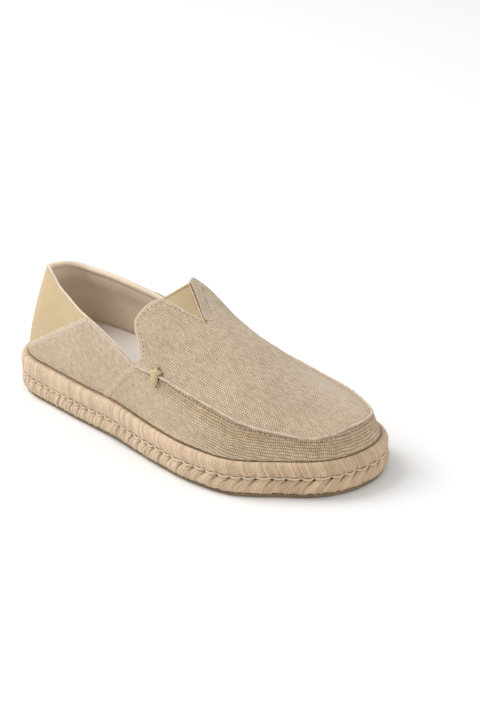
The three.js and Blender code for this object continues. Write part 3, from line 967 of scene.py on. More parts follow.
def apron_mesh():
    """Canvas over the instep and the toes, up to the throat."""
    x, y, _ = apron_rows(300, 70)
    points = over_plan(x, y)
    normals = normals_of(points)
    away = np.hypot(x - x[0], y - y[0])
    shoulder = smooth((away[-1:] + 4) / 14) * np.exp(-((away / 3.5) ** 2)) * smooth((x - LOW_POINT) / 14)
    points = creased(points, normals) + normals * (0.25 * shoulder)[..., None]
    middle = STATIONS.at("middle", x)
    across = arc_along(x, middle, x, y) * np.sign(y - middle)
    along = arc_along(LOW_POINT + 0 * x, middle, x, middle, 40) * np.sign(x - LOW_POINT)
    uv = np.stack([along, across], axis=-1)
    from_throat = np.hypot(x - x[-1], y - y[-1])
    edge = smooth(1 - from_throat / 3.0) * 0.6 + 0.7 * smooth(1 - away / 3.0)
    # The patches raise the pale value: a painted sheen highlight.
    for patch_x, patch_y, reach, strength in SHEEN_PATCHES:
        distance = np.hypot((x - patch_x) / reach, (y - patch_y) / (0.55 * reach))
        edge = np.maximum(edge, strength * np.exp(-(distance ** 2)))
    return mesh_from_grid("apron", points, uv, extra={"edge": edge})


# ---------------------------------------------------------------------------------------------
# Seams, hems and stitches
# ---------------------------------------------------------------------------------------------
def surface_line(turns, rises):
    """A line on the creased wall: its points and normals."""
    step = 0.6
    rows = np.stack([rises - step, rises, rises + step])
    points, normals = wall_grid(np.broadcast_to(turns, rows.shape), rows)
    return points[1], normals[1]


def plan_line(x, y):
    """A line on the creased top of the upper: its points and normals."""
    step = 0.5
    east = over_plan(x + step, y) - over_plan(x - step, y)
    north = over_plan(x, y + step) - over_plan(x, y - step)
    normals = np.cross(east, north)
    normals = normals / (np.linalg.norm(normals, axis=-1, keepdims=True) + 1e-9)
    return creased(over_plan(x, y), normals), normals


def run_of(path):
    """Length along a path at each of its points."""
    return np.concatenate([[0.0], np.cumsum(np.linalg.norm(np.diff(path, axis=0), axis=1))])


def spaced(path, normals, pitch, start=0.0):
    """Points at an even pitch on a path, with the directions ahead and away from the shoe."""
    run = run_of(path)
    at = np.arange(start, run[-1], pitch)
    pick = lambda values: np.stack([np.interp(at, run, values[:, k]) for k in range(3)], axis=-1)
    return pick(path), pick(frames_along(path)), pick(normals)


def lumps(count, seed, reach):
    """Soft random numbers between -1 and 1, the same each time."""
    draw = np.random.default_rng(seed).uniform(-1, 1, count + 2 * reach)
    window = np.hanning(2 * reach + 1)
    soft = np.convolve(draw, window / window.sum(), mode="valid")
    return soft / (np.abs(soft).max() + 1e-9)


def strip_mesh(name, path, normals, width, height, seed, sink=0.25, across=7, edge=0.8, ragged=0.1):
    """A domed strip of cloth laid along a path. ragged is how uneven its edges are."""
    ahead = frames_along(path)
    beside = np.cross(normals, ahead)
    a = np.linspace(-1, 1, across)[:, None, None]
    rough = lumps(len(path), seed, 3)
    wide = (width / 2 * (1 + ragged * rough))[None, :, None]
    tall = (height * (1 + 0.18 * np.roll(rough, 5)))[None, :, None]
    dome = (1 - np.abs(a) ** 3.0) * tall - sink * np.abs(a) ** 3.0
    points = path[None] - beside[None] * a * wide + normals[None] * dome
    run = run_of(path)
    uv = np.stack(np.broadcast_arrays(run[None], a[..., 0] * width / 2), axis=-1)
    pale = np.full(points.shape[:2], edge)
    return mesh_from_grid(name, points, uv, extra={"edge": pale}, flip=True)


def beads_mesh(name, places, aheads, outs, half_length, half_width, height, segments=6):
    """Small long beads on a surface, as stitches and stitch holes are."""
    made = bmesh.new()
    made.loops.layers.uv.new("UVMap")
    for place, ahead, out in zip(places, aheads, outs):
        forward = Vector(ahead).normalized()
        upward = (Vector(out) - forward * forward.dot(Vector(out))).normalized()
        sideways = upward.cross(forward)
        basis = Matrix((forward * half_length, sideways * half_width, upward * height)).transposed()
        matrix = (basis * MM).to_4x4()
        matrix.translation = Vector((place + ORIGIN) * MM)
        bmesh.ops.create_uvsphere(
            made, u_segments=segments, v_segments=4, radius=1.0, matrix=matrix, calc_uvs=True
        )
    mesh = bpy.data.meshes.new(name)
    made.to_mesh(mesh)
    made.free()
    mesh.polygons.foreach_set("use_smooth", np.ones(len(mesh.polygons), bool))
    return mesh


def seam_line(offset=0.0, count=900, margin=0.0):
    """The apron seam, moved down the wall by an offset."""
    turns = np.linspace(LOW_TURN + margin, 3 - LOW_TURN - margin, count)
    return surface_line(turns, seam_rise(turns) - offset)


def seam_pipe_mesh():
    """The pinched pipe of the moccasin seam, painted paler along its length as a highlight."""
    path, normals = seam_line(count=1100)
    run = run_of(path)
    pinch = np.abs(np.sin(math.pi * run / 3.1)) ** 0.6
    rough = lumps(len(run), 5, 9)
    fade = smooth(run / 24) * smooth((run[-1] - run) / 24)
    tall = (0.7 + 0.3 * pinch + 0.3 * rough) * lerp(0.35, 1.0, fade)
    wide = (0.85 + 0.25 * rough) * lerp(0.7, 1.0, fade)
    centre = path + normals * (0.75 * lerp(0.2, 1.0, fade))[:, None]
    mesh = tube_mesh("apron_seam", centre, normals, wide, tall, sides=10)
    # The whole pipe is made paler: a painted highlight along the raised seam.
    pale = mesh.attributes.new("edge", "FLOAT", "POINT")
    pale.data.foreach_set("value", np.full(len(mesh.vertices), 0.7))
    return mesh


def quarter_seam_mesh(side):
    t = np.linspace(0.0, 1.0, 60)
    ahead = quarter_seam_turn(t)
    turns = ahead if side < 0 else 3 - ahead
    path, normals = surface_line(turns, t * SEAM.at("rise", LOW_POINT))
    return strip_mesh("quarter_seam", path, normals, 7.0, 0.36, seed=11 + side, edge=0.12, ragged=0.05)


def counter_edge_line(count=420, offset=0.0):
    turns = np.linspace(-1 - COUNTER_TURN, COUNTER_TURN, count)
    return surface_line(turns, quarter_top(turns) - offset)


def counter_hem_mesh():
    path, normals = counter_edge_line(offset=1.0)
    return strip_mesh("counter_hem", path, normals, 4.6, 0.3, seed=21, edge=0.7, ragged=0.25)


def throat_line(start=0.0, end=1.0, count=400, inset=0.0):
    """The edge of the throat and of the V, from the outer side to the inner side."""
    half = np.linspace(start, end, count)
    outer = throat_place(half, -1.0)
    inner = throat_place(half[::-1], 1.0)
    x = np.concatenate([outer[0], inner[0][1:]])
    y = np.concatenate([outer[1], inner[1][1:]])
    if inset:
        ahead = np.stack([np.gradient(x), np.gradient(y)], axis=-1)
        ahead = ahead / (np.linalg.norm(ahead, axis=1, keepdims=True) + 1e-9)
        x, y = x + inset * ahead[:, 1], y - inset * ahead[:, 0]
    return x, y


def throat_hem_mesh():
    """The canvas turned in round the throat and the V."""
    x, y = throat_line(0.0, 1.0)
    path, normals = plan_line(x, y)
    rough = lumps(len(path), 31, 6)
    sunk = path - normals * 0.85
    mesh = tube_mesh("throat_hem", sunk, normals, 0.95 + 0.12 * rough, 1.0 + 0.1 * rough, sides=10)
    pale = mesh.attributes.new("edge", "FLOAT", "POINT")
    pale.data.foreach_set("value", np.full(len(mesh.vertices), 1.0))
    return mesh


def v_flap_mesh():
    """The inner side of the V: canvas folded over and a little raised."""
    half = np.linspace(CORNER - 0.012, 0.985, 60)
    x, y = throat_place(half, 1.0)
    path, normals = plan_line(x, y)
    ahead = frames_along(path)
    inner = np.cross(normals, ahead)
    inner = inner * np.sign(inner[:, 1:2])
    a = np.linspace(0, 1, 10)[:, None, None]
    reach = 8.0 * smooth((half - CORNER + 0.03) / 0.06) * (1 - 0.35 * (half - CORNER) / (1 - CORNER))
    lift_up = (1.9 * (1 - a) ** 1.5 - 0.12) * smooth((1.02 - half) / 0.35)[None, :, None]
    points = path[None] + inner[None] * a * reach[None, :, None] + normals[None] * lift_up
    uv = np.stack(np.broadcast_arrays(run_of(path)[None], a[..., 0] * 7.0), axis=-1)
    pale = np.broadcast_to(0.7 * (1 - a[..., 0]) ** 2, points.shape[:2])
    return mesh_from_grid("v_flap", points, uv, extra={"edge": np.array(pale)})


# ---------------------------------------------------------------------------------------------
# Leather, lining and insole
# ---------------------------------------------------------------------------------------------
COLLAR_ROLL = 1.9


def counter_mesh():
    """Leather round the heel, from under the canvas hem up to the collar."""
    t = np.linspace(0, 1, 40)[:, None]
    end = turn_of(COUNTER_EDGE["end"] + 7.0)
    turns = np.linspace(-1 - end, end, 240)[None]
    low = np.minimum(counter_edge_rise(turns) - 2.5, collar_rise(turns) - 2.0)
    rises = lerp(low, collar_rise(turns) - 0.4, t)
    turns = np.broadcast_to(turns, rises.shape)
    points, normals = wall_grid(turns, rises)
    points = points - normals * 0.35
    uv = np.stack([distance_at(turns), rises], axis=-1)
    return mesh_from_grid("counter", points, uv)


def quarter_lining_mesh():
    """Padded lining: rolled over the collar, and down inside the quarters to the insole."""
    turns = np.linspace(-1 - LOW_TURN, LOW_TURN, 260)
    top = collar_rise(turns) - COLLAR_ROLL
    rows = []
    over = np.linspace(0.30, 1.0, 9) * math.pi
    edge, out = wall_grid(turns[None] + np.zeros((3, 1)), np.stack([top - 1, top, top + 1]))
    up = edge[2] - edge[0]
    up = up / np.linalg.norm(up, axis=-1, keepdims=True)
    edge, out = edge[1], out[1]
    for angle in over:
        outward = COLLAR_ROLL * (math.cos(angle) - 0.93)
        upward = COLLAR_ROLL * math.sin(angle)
        rows.append(edge + out * outward + up * upward)
    rises = lerp(2.2, top, np.linspace(0, 1, 40)[:-1, None])
    depth = top - rises
    pad = 3.7 - 1.5 * smooth((depth - 7) / 14) + 0.9 * smooth((depth - top + 9) / 7)
    pad = pad - 0.75 * np.exp(-(((depth - 1.9) / 1.0) ** 2))
    pleats = 0.28 * np.sin(depth / 3.3 + 1.6 * np.sin(turns * 2.3)) * np.exp(-((depth - 9) / 7) ** 2)
    points, normals = wall_grid(np.broadcast_to(turns, rises.shape), rises)
    inside = points - normals * (pad + pleats)[..., None]
    points = np.concatenate([inside, np.array(rows[::-1])])
    run = np.broadcast_to(distance_at(turns), points.shape[:2])
    fall = np.concatenate([depth[:, 0] + over[-1] * COLLAR_ROLL, over[::-1] * COLLAR_ROLL])
    uv = np.stack([run, np.broadcast_to(-fall[:, None], run.shape)], axis=-1)
    return mesh_from_grid("quarter_lining", points, uv, flip=True)


def vamp_lining_mesh():
    """Lining under the apron and inside the side wall."""
    s = np.linspace(0, 1, 200)
    turns = lerp(LOW_TURN, 3 - LOW_TURN, s)
    t = np.linspace(0, 1, 14)[:, None]
    rises = lerp(2.2, seam_rise(turns) - 1.5, t)
    wall = wall_grid(np.broadcast_to(turns, rises.shape), rises)[0]
    x, y, _ = apron_rows(200, 30, start=0.03, end=0.995)
    points = np.concatenate([wall, creased(over_plan(x, y), normals_of(over_plan(x, y)))])
    normals = normals_of(points)
    points = points - normals * 1.9
    index = np.arange(points.shape[0])[:, None] * 1.5
    uv = np.stack(np.broadcast_arrays(distance_at(turns)[None], index), axis=-1)
    return mesh_from_grid("vamp_lining", points, uv, flip=True)


def insole_mesh():
    """The sock: gently hollow, with its edge turned down beside the lining."""
    edge = 9.0
    turns = np.linspace(HEEL_TURN, HEEL_TURN + 4, 241)
    rings = np.array([1.0, 1.0, 0.995, 0.97, 0.93, 0.86, 0.76, 0.62, 0.46, 0.3, 0.14, 0.0])[:, None]
    drop = np.array([-3.0, -1.2, -0.35, -0.05, 0.0, -0.1, -0.35, -0.6, -0.75, -0.8, -0.8, -0.8])[:, None]
    grid = (len(rings), len(turns))
    x, y = plan(np.broadcast_to(turns, grid), np.broadcast_to(rings, grid), edge)
    heel_pad = 6.0 * smooth(1 - (x - LOW_POINT) / 60)
    z = INSOLE_BOTTOM + 4.0 + lift(x) + heel_pad * (1 + drop / 3.0).clip(0, 1) + drop
    points = np.stack([x, y, z], axis=-1)
    uv = points[..., :2]
    return mesh_from_grid("insole_sock", points, uv, merge=0.002)


def v_edges(start, end, count):
    """Points on both edges of the V, from its corners towards its tip: outer, then inner."""
    half = lerp(CORNER, 1.0, np.linspace(start, end, count))
    return [over_plan(*throat_place(half, side)) for side in (-1.0, 1.0)]


def gore_mesh():
    """Leather stretched straight across the V of the throat, ribbed."""
    outer, inner = v_edges(-0.02, 0.97, 30)
    across = np.linspace(-0.04, 1.04, 24)[:, None, None]
    points = lerp(outer[None], inner[None], across)
    normals = normals_of(points)
    points = points - normals * 0.8
    width = np.linalg.norm(inner - outer, axis=-1)
    run = run_of((outer + inner) / 2)
    uv = np.stack(np.broadcast_arrays(run[None], (across[..., 0] - 0.5) * width), axis=-1)
    return mesh_from_grid("gore", points, uv)


def gore_rim_mesh():
    """The folded edge of the gore, straight from one corner of the V to the other."""
    outer, inner = v_edges(-0.02, 0.02, 3)
    share = np.linspace(0.02, 0.98, 40)[:, None]
    path = lerp(outer[0], inner[0], share)
    back = np.gradient(np.array([(outer[k] + inner[k]) / 2 for k in range(3)]), axis=0)[1]
    out = np.cross(inner[0] - outer[0], back)
    out = out / np.linalg.norm(out) * np.sign(out[2])
    return tube_mesh("gore_rim", path - out * 0.7, np.repeat(out[None], 40, 0), 0.8, 0.55, sides=8)


def v_gap_mesh():
    """A brown tube in the gap between the gore and the raised inner flap: painted shadow of the gap."""
    inner = v_edges(0.0, 0.98, 50)[1]
    normals = np.repeat(np.array([[0.0, 0.0, 1.0]]), 50, 0)
    return tube_mesh("v_gap_shadow", inner - np.array([0.0, 0.4, 0.1]), normals, 0.32, 0.32, sides=6)


TACK_AHEAD = 21.5  # a tack's middle is this far ahead of the throat's lowest point


def tack_line(side):
    """Middle of a tack on the seam, and the directions up, out of the shoe and ahead."""
    turn = turn_of(LOW_POINT + TACK_AHEAD)
    turn = turn if side < 0 else 3 - turn
    seam_turns = turn + np.array([-0.01, 0.0, 0.01])
    seam = on_wall(seam_turns, seam_rise(seam_turns))
    wall_turns = np.full(2, turn)
    wall = on_wall(wall_turns, seam_rise(wall_turns) + np.array([-4.0, 4.0]))
    up = wall[1] - wall[0]
    fore = (seam[2] - seam[0]) * np.sign(seam[2, 0] - seam[0, 0])
    up, fore = up / np.linalg.norm(up), fore / np.linalg.norm(fore)
    return seam[1], up, -side * np.cross(fore, up), fore


def cord_arc(name, place, along, out, half_length, half_width, peak):
    """A short leather cord that comes out of the canvas, arches over and goes in again."""
    t = np.linspace(-1, 1, 22)
    rise = np.sqrt(np.clip(1 - t ** 2, 0, 1)) ** 0.8
    path = place + along * (half_length * t)[:, None] + out * (peak * rise)[:, None]
    wide = half_width * np.clip(1 - t ** 2, 0, 1) ** 0.5 + 0.3
    return tube_mesh(name, path, np.repeat(out[None], len(t), 0), wide, wide * 0.7, sides=10)


def tack_mesh(name, side):
    """Leather cord sewn up over the seam, with a loop across its upper end."""
    place, up, out, ahead = tack_line(side)
    lean = up - ahead * 0.25
    bar = cord_arc("bar", place - up * 0.7, lean / np.linalg.norm(lean), out, 5.2, 2.3, 2.3)
    loop = cord_arc("loop", place + up * 1.4 - ahead * 0.9, ahead + up * 0.35, out, 4.2, 1.9, 2.6)
    return joined(name, [bar, loop])


# ---------------------------------------------------------------------------------------------
# The rope sole
# ---------------------------------------------------------------------------------------------
def toeness(distance):
    """0 at the heel, 1 at the toe."""
    return smooth(1 - np.abs(distance - PERIMETER / 2) / (PERIMETER / 2) * 1.25 + 0.2)


def rope_crown(distance):
    """How much higher than the plain layer the upper rope's top edge stands."""
    return lerp(1.7, -1.0, toeness(distance))


def stitch_places():
    """Distances at which the sole's chain stitch goes into the rope."""
    draw = np.random.default_rng(7)
    places = [0.0]
    while places[-1] < PERIMETER:
        pitch = lerp(7.2, 9.8, toeness(places[-1])) * draw.uniform(0.8, 1.2)
        places.append(places[-1] + pitch)
    return np.array(places) * PERIMETER / places[-1]


STITCHES = stitch_places()


def from_stitch(distance):
    """Distance to the nearest place where the chain stitch goes in."""
    wrapped = np.mod(distance, PERIMETER)
    after = np.clip(np.searchsorted(STITCHES, wrapped), 1, len(STITCHES) - 1)
    return np.minimum(np.abs(wrapped - STITCHES[after - 1]), np.abs(STITCHES[after] - wrapped))


def rope_profile(bottom, thickness, bulge_low, bulge_high, steps=11):
    """Inset, height and direction outwards of a rope's side, from its bottom to its top."""
    angle = np.linspace(-math.pi / 2, math.pi / 2, steps)
    bulge = np.where(angle < 0, bulge_low, bulge_high)
    inset = bulge * (1 - np.cos(angle))
    height = bottom + thickness / 2 * (1 + np.sin(angle))
    return inset, height, angle


def rope_points(distance, inset, height, angle, swell):
    """Points round the sole, pushed out by a swell square to the profile."""
    turns = turn_at(np.mod(distance, PERIMETER))
    x, y = plan(turns, 1.0, inset - swell * np.cos(angle))
    return np.stack([x, y, height + swell * np.sin(angle) + lift(x)], axis=-1)


YARN_STEPS = np.array([0.0, 0.22, 0.5, 0.78])
YARN_ROUND = np.sqrt(1 - (2 * YARN_STEPS - 1) ** 2)


def upper_wrap_mesh(pitch):
    """The upper rope layer: fine yarns laid side by side over its edge."""
    draw = np.random.default_rng(3)
    count = round(PERIMETER / pitch)
    widths = draw.uniform(0.72, 1.28, count)
    starts = np.concatenate([[0.0], np.cumsum(widths)]) * PERIMETER / widths.sum()
    steps = len(YARN_STEPS)
    yarn = np.repeat(np.arange(count), steps)
    share = np.tile(YARN_STEPS, count)
    round_part = np.tile(YARN_ROUND, count)
    along = starts[yarn] + share * (starts[yarn + 1] - starts[yarn])
    thick = draw.uniform(0.4, 1.3, count)[yarn]
    proud = 0.11 * lumps(count, 13, 1)[yarn] + 0.13 * lumps(count, 14, 12)[yarn]
    sway = [0.5 * lumps(count, 15 + k, 3)[yarn] for k in range(3)]
    slit = (draw.random(count) < 0.10)[yarn] * draw.uniform(0.4, 1.0, count)[yarn]
    close = lambda values: np.concatenate([values, values[:1]])
    round_part, thick, proud, slit = map(close, (round_part, thick, proud, slit))
    sway = [close(values) for values in sway]
    along = np.concatenate([along, [PERIMETER]])
    number = np.concatenate([yarn + share, [count]])

    inset, height, angle = rope_profile(UPPER_ROPE_BOTTOM, 11.0, 1.7, 3.2, 13)
    inset = np.concatenate([[4.6], inset, [5.0, 7.2]])[:, None]
    height = np.concatenate([[height[0] + 0.3], height, [height[-1] - 0.25, height[-1] - 1.0]])[:, None]
    angle = np.concatenate([[-math.pi / 2], angle, [math.pi / 2] * 2])[:, None]
    level = (height - height.min()) / (height.max() - height.min())
    slant = np.radians(lerp(7.0, 19.0, toeness(along)))[None]
    shift = -np.tan(slant) * (height - UPPER_ROPE_BOTTOM - 5.5) * np.cos(angle * 0.6)
    shift = shift + lerp(sway[0], sway[1], level) + sway[2] * np.sin(math.pi * level)
    distance = along[None] + shift
    near = from_stitch(distance)
    pinch = np.exp(-((near / 1.1) ** 2)) * smooth(1 - level / 0.36) * lerp(0.45, 1.0, toeness(along))
    slit = slit * (1 - round_part) * smooth(1 - level / 0.75) * toeness(along)
    swell = -0.20 * thick * (1 - round_part) + 0.6 * proud * np.cos(angle) - 0.7 * pinch - 0.5 * slit - 0.1
    crown = rope_crown(along) * smooth((height - UPPER_ROPE_BOTTOM - 3.0) / 8.0)
    height = height + crown
    points = rope_points(distance, inset, height, angle, swell)
    # Painted shade: between yarns, at the stitches, in slits, in the crevice under the canvas and along the
    # groove.
    foot = smooth((inset - 4.2) / 2.5) * (angle > 0)
    recess_shade = np.clip(0.20 * (1 - round_part) ** 1.5 * thick + 0.5 * pinch + 0.6 * slit + 0.8 * foot, 0, 1)
    recess_shade = np.maximum(recess_shade, smooth(1 - level / 0.10) * 0.55)
    uv = np.stack(np.broadcast_arrays(number[None], height * 1.2), axis=-1)
    return mesh_from_grid("upper_wrap", points, uv, merge=0.002, extra={"recess_shade": recess_shade})


def lower_wrap_mesh(yarns):
    """The lower rope layer: slanting bundles of yarn, gathered where the stitches go in."""
    draw = np.random.default_rng(5)
    bundles = len(STITCHES) - 1
    steps = len(YARN_STEPS)
    per_bundle = yarns * steps
    bundle = np.repeat(np.arange(bundles), per_bundle)
    yarn_in = np.tile(np.repeat(np.arange(yarns), steps), bundles)
    share = np.tile(YARN_STEPS, bundles * yarns)
    fraction = (yarn_in + share) / yarns
    along = STITCHES[bundle] + fraction * (STITCHES[bundle + 1] - STITCHES[bundle])
    count = bundles * yarns
    yarn = bundle * yarns + yarn_in
    thick = draw.uniform(0.5, 1.35, count)[yarn]
    proud = 0.22 * lumps(count, 23, 1)[yarn]
    size = 0.35 * lumps(bundles, 24, 1)[bundle]
    lean = draw.uniform(0.8, 1.2, bundles)[bundle]
    fray = draw.uniform(-0.5, 0.35, count)[yarn]
    force = draw.uniform(0.75, 1.35, bundles)[bundle]
    close = lambda values: np.concatenate([values, values[:1]])
    thick, proud, size, lean, fray, force = map(close, (thick, proud, size, lean, fray, force))
    round_part = close(np.tile(YARN_ROUND, bundles * yarns))
    along = np.concatenate([along, [PERIMETER]])
    number = np.concatenate([yarn + share, [count]])
    lean = close(np.convolve(lean[:-1], np.ones(2 * per_bundle) / (2 * per_bundle), mode="same"))

    inset, height, angle = rope_profile(LOWER_ROPE_BOTTOM, 10.2, 2.0, 1.9, 13)
    inset = np.concatenate([[5.0], inset, [5.5]])[:, None]
    height = np.concatenate([[height[0] + 0.2], height, [height[-1] - 0.1]])[:, None]
    angle = np.concatenate([[-math.pi / 2], angle, [math.pi / 2]])[:, None]
    down = np.clip((LOWER_ROPE_BOTTOM + 10.2 - height) / 10.2, 0, 1)
    reach = lerp(3.4, 6.6, toeness(along))[None] * lean
    shift = -reach * (1 - (1 - down) ** 1.8)
    distance = along[None] + shift
    near = from_stitch(along)[None]
    front = toeness(along)[None]
    mouth = lerp(lerp(0.6, 0.95, front), 0.3, smooth(down * 1.25))
    gap = np.exp(-((near / mouth) ** 2)) * lerp(1.0, 0.14, smooth(down * 1.4))
    gap = gap * lerp(0.5, 1.0, front) * force
    belly = np.sin(math.pi * np.clip(down, 0, 1)) * 0.25
    swell = -1.2 * gap - 0.26 * thick * (1 - round_part) + (proud + size) * np.cos(angle) - 0.25 + belly
    height = height + fray * smooth(down * 3 - 2)
    points = rope_points(distance, inset, height, angle, swell)
    # Painted shade: between yarns, in the gaps at the stitches and along the groove.
    recess_shade = np.clip(0.24 * (1 - round_part) ** 1.5 * thick + 0.65 * gap, 0, 1)
    recess_shade = np.maximum(recess_shade, smooth(1 - down / 0.07) * 0.5)
    uv = np.stack(np.broadcast_arrays(number[None], height * 1.2), axis=-1)
    return mesh_from_grid("lower_wrap", points, uv, merge=0.002, extra={"recess_shade": recess_shade})


def chain_thread_mesh():
    """The thread of the chain stitch in the groove between the ropes."""
    draw = np.random.default_rng(9)
    parts = np.array([0.0, 0.1, 0.25, 0.42, 0.58, 0.75, 0.9])
    count = len(STITCHES) - 1
    stitch = np.repeat(np.arange(count), len(parts))
    share = np.tile(parts, count)
    distance = STITCHES[stitch] + share * (STITCHES[stitch + 1] - STITCHES[stitch])
    bow = np.sin(math.pi * share)
    sag = draw.uniform(0.5, 1.0, count)[stitch]
    inset = 2.1 - 1.6 * bow ** 0.6
    height = GROOVE_HEIGHT + 0.45 - 0.7 * sag * bow
    turns = turn_at(np.mod(distance, PERIMETER))
    x, y = plan(turns, 1.0, inset)
    path = np.stack([x, y, height + lift(x)], axis=-1)
    path = np.concatenate([path, path[:1]])
    outside = np.stack(plan(turns, 1.0, 0.0), axis=-1) - np.stack(plan(turns, 1.0, 5.0), axis=-1)
    out = np.concatenate([outside, np.zeros((len(outside), 1))], axis=-1)
    out = np.concatenate([out, out[:1]])
    return tube_mesh("chain_thread", path, out, 0.66, 0.66, sides=7, closed=True)


def outsole_mesh():
    """The rubber sheet under the rope, with a soft edge."""
    inset = np.array([40.0, 12.0, 3.6, 2.9, 2.6, 2.6, 2.9, 3.8, 12.0])[:, None]
    height = np.array([0.0, 0.0, 0.0, 0.12, 0.5, 1.9, 2.3, 2.4, 2.4])[:, None]
    turns = np.linspace(HEEL_TURN, HEEL_TURN + 4, 361)
    x, y = plan(np.broadcast_to(turns, (9, 361)), 1.0, np.broadcast_to(inset, (9, 361)))
    middle_x, middle_y = plan(turns, 0.0, 0.0)
    points = np.stack([x, y, height + lift(x)], axis=-1)
    centre = np.stack([middle_x, middle_y, lift(middle_x)], axis=-1)[None]
    points = np.concatenate([centre, points[1:]])
    return mesh_from_grid("outsole_sheet", points, points[..., :2].copy(), merge=0.002)


def fray_mesh(count):
    """Loose ends of jute that stand off the rope."""
    draw = np.random.default_rng(17)
    meshes = []
    for _ in range(count):
        distance = draw.uniform(0, PERIMETER)
        low = draw.random() < 0.55
        height = draw.uniform(2.9, 5.0) if low else draw.uniform(14, 23)
        length = draw.uniform(1.4, 3.2)
        t = np.linspace(0, 1, 6)
        swing = draw.uniform(-1, 1) * length
        out = draw.uniform(0.15, 0.55)
        turns = turn_at(np.mod(distance + swing * t, PERIMETER))
        x, y = plan(turns, 1.0, 0.55 - out * np.sin(math.pi * 0.55 * t))
        z = height + draw.uniform(-1, 1) * length * 0.5 * t + lift(x)
        z = np.maximum(z, 2.7 + lift(x))
        path = np.stack([x, y, z], axis=-1)
        normals = np.repeat(np.array([[0.0, 0.0, 1.0]]), len(t), 0)
        meshes.append(tube_mesh("fibre", path, normals, 0.09, 0.09, sides=4))
    return joined("loose_fibres", meshes)


# ---------------------------------------------------------------------------------------------
# What a user may change
# ---------------------------------------------------------------------------------------------
def colour_property(name, description, default):
    return FloatVectorProperty(
        name=name, description=description, default=default, size=3, min=0.0, max=1.0, subtype="COLOR"
    )


class SlipOnColours(bpy.types.PropertyGroup):
    """Colours of the materials"""

    canvas_light: colour_property("Canvas yarn", "Raised yarn of the canvas", (0.78, 0.63, 0.465))
    # Painted shade in the low places between the canvas yarns.
    canvas_gap_shade: colour_property("Canvas gap shade", "Between the yarns of the canvas", (0.32, 0.23, 0.14))
    leather: colour_property("Leather", "Heel counter and gore", (0.575, 0.438, 0.255))
    cord: colour_property("Cord", "Leather cord of the tacks", (0.60, 0.47, 0.27))
    lining: colour_property("Lining", "Lining and rolled collar", (0.77, 0.64, 0.49))
    insole: colour_property("Insole", "Sock on which the foot stands", (0.74, 0.70, 0.66))
    jute: colour_property("Jute", "Rope of the sole", (0.68, 0.52, 0.365))
    jute_gap: colour_property("Jute gaps", "Shade between the yarns of the rope", (0.24, 0.15, 0.08))
    thread: colour_property("Thread", "Chain stitch of the sole", (0.76, 0.61, 0.44))
    # Dark Stitch is also used for the painted shade tube in the feather crevice and for the dark hole
    # beads, which are painted shade in the holes.
    stitch: colour_property("Stitches", "Dark stitches of the upper", (0.20, 0.13, 0.06))
    # Also the colour of the painted shadow tube in the V's gap.
    brown: colour_property("Apex stitch", "Bar of thread at the tip of the V", (0.29, 0.165, 0.085))
    rubber: colour_property("Rubber", "Outsole", (0.24, 0.17, 0.09))
    floor: colour_property("Floor", "Studio floor", (0.88, 0.88, 0.88))


class SlipOnSizes(bpy.types.PropertyGroup):
    """Sizes of the sewing and of the rope"""

    yarn_pitch: FloatProperty(
        name="Yarn pitch", description="Width of a yarn of the upper rope", default=1.0 * MM, unit="LENGTH"
    )
    bundle_yarns: IntProperty(
        name="Yarns in a bundle", description="Yarns between two sole stitches", default=5, min=2, max=8
    )
    stitch_pitch: FloatProperty(
        name="Stitch pitch",
        description="Length of a stitch of the apron seam",
        default=3.1 * MM,
        unit="LENGTH",
    )
    hole_pitch: FloatProperty(
        name="Hole pitch", description="Distance between stitch holes at the throat", default=3.0 * MM,
        unit="LENGTH"
    )
    weave_pitch: FloatProperty(
        name="Weave pitch",
        description="Distance between rows of the canvas",
        default=1.4 * MM,
        unit="LENGTH",
    )
    fibres: IntProperty(name="Loose fibres", description="Number of loose jute ends", default=90, min=0)


def colours():
    return bpy.context.scene.slip_on_colours


def sizes():
    return bpy.context.scene.slip_on_sizes


def canvas(name="Canvas", pitch=None):
    tones = (tuple(colours().canvas_gap_shade), tuple(colours().canvas_light))
    return canvas_material(name, tones, row_pitch=pitch or sizes().weave_pitch / MM)


def leather():
    return leather_material("Counter Leather", tuple(colours().leather))


def lining():
    return cloth_material("Lining", tuple(colours().lining), 1400.0, 0.06)


def jute(name):
    return jute_material(name, tuple(colours().jute), 0.30, tuple(colours().jute_gap))


def dark_stitch():
    return thread_material("Dark Stitch", tuple(colours().stitch))


# ---------------------------------------------------------------------------------------------
# Operators: one for each piece or group of like pieces
# ---------------------------------------------------------------------------------------------
class SLIPON_OT_outsole(bpy.types.Operator):
    """Add the rubber outsole"""

    bl_idname = "slipon.outsole"
    bl_label = "Outsole"

    def execute(self, context):
        rubber = rubber_material("Outsole Rubber", tuple(colours().rubber))
        piece("outsole_sheet", outsole_mesh(), rubber, ["outsole"])
        return {"FINISHED"}


class SLIPON_OT_ropes(bpy.types.Operator):
    """Add the two layers of wrapped jute rope"""

    bl_idname = "slipon.ropes"
    bl_label = "Rope layers"

    def execute(self, context):
        upper = upper_wrap_mesh(sizes().yarn_pitch / MM)
        piece("upper_wrap", upper, jute("Fine Jute"), ["rope_midsole_upper"])
        lower = lower_wrap_mesh(sizes().bundle_yarns)
        piece("lower_wrap", lower, jute("Bundled Jute"), ["rope_midsole_lower"])
        return {"FINISHED"}


class SLIPON_OT_sole_thread(bpy.types.Operator):
    """Add the chain stitch in the groove of the sole, and the loose jute ends"""

    bl_idname = "slipon.sole_thread"
    bl_label = "Sole thread"

    def execute(self, context):
        thread = thread_material("Sole Thread", tuple(colours().thread))
        piece("chain_thread", chain_thread_mesh(), thread)
        piece("loose_fibres", fray_mesh(sizes().fibres), thread)
        return {"FINISHED"}


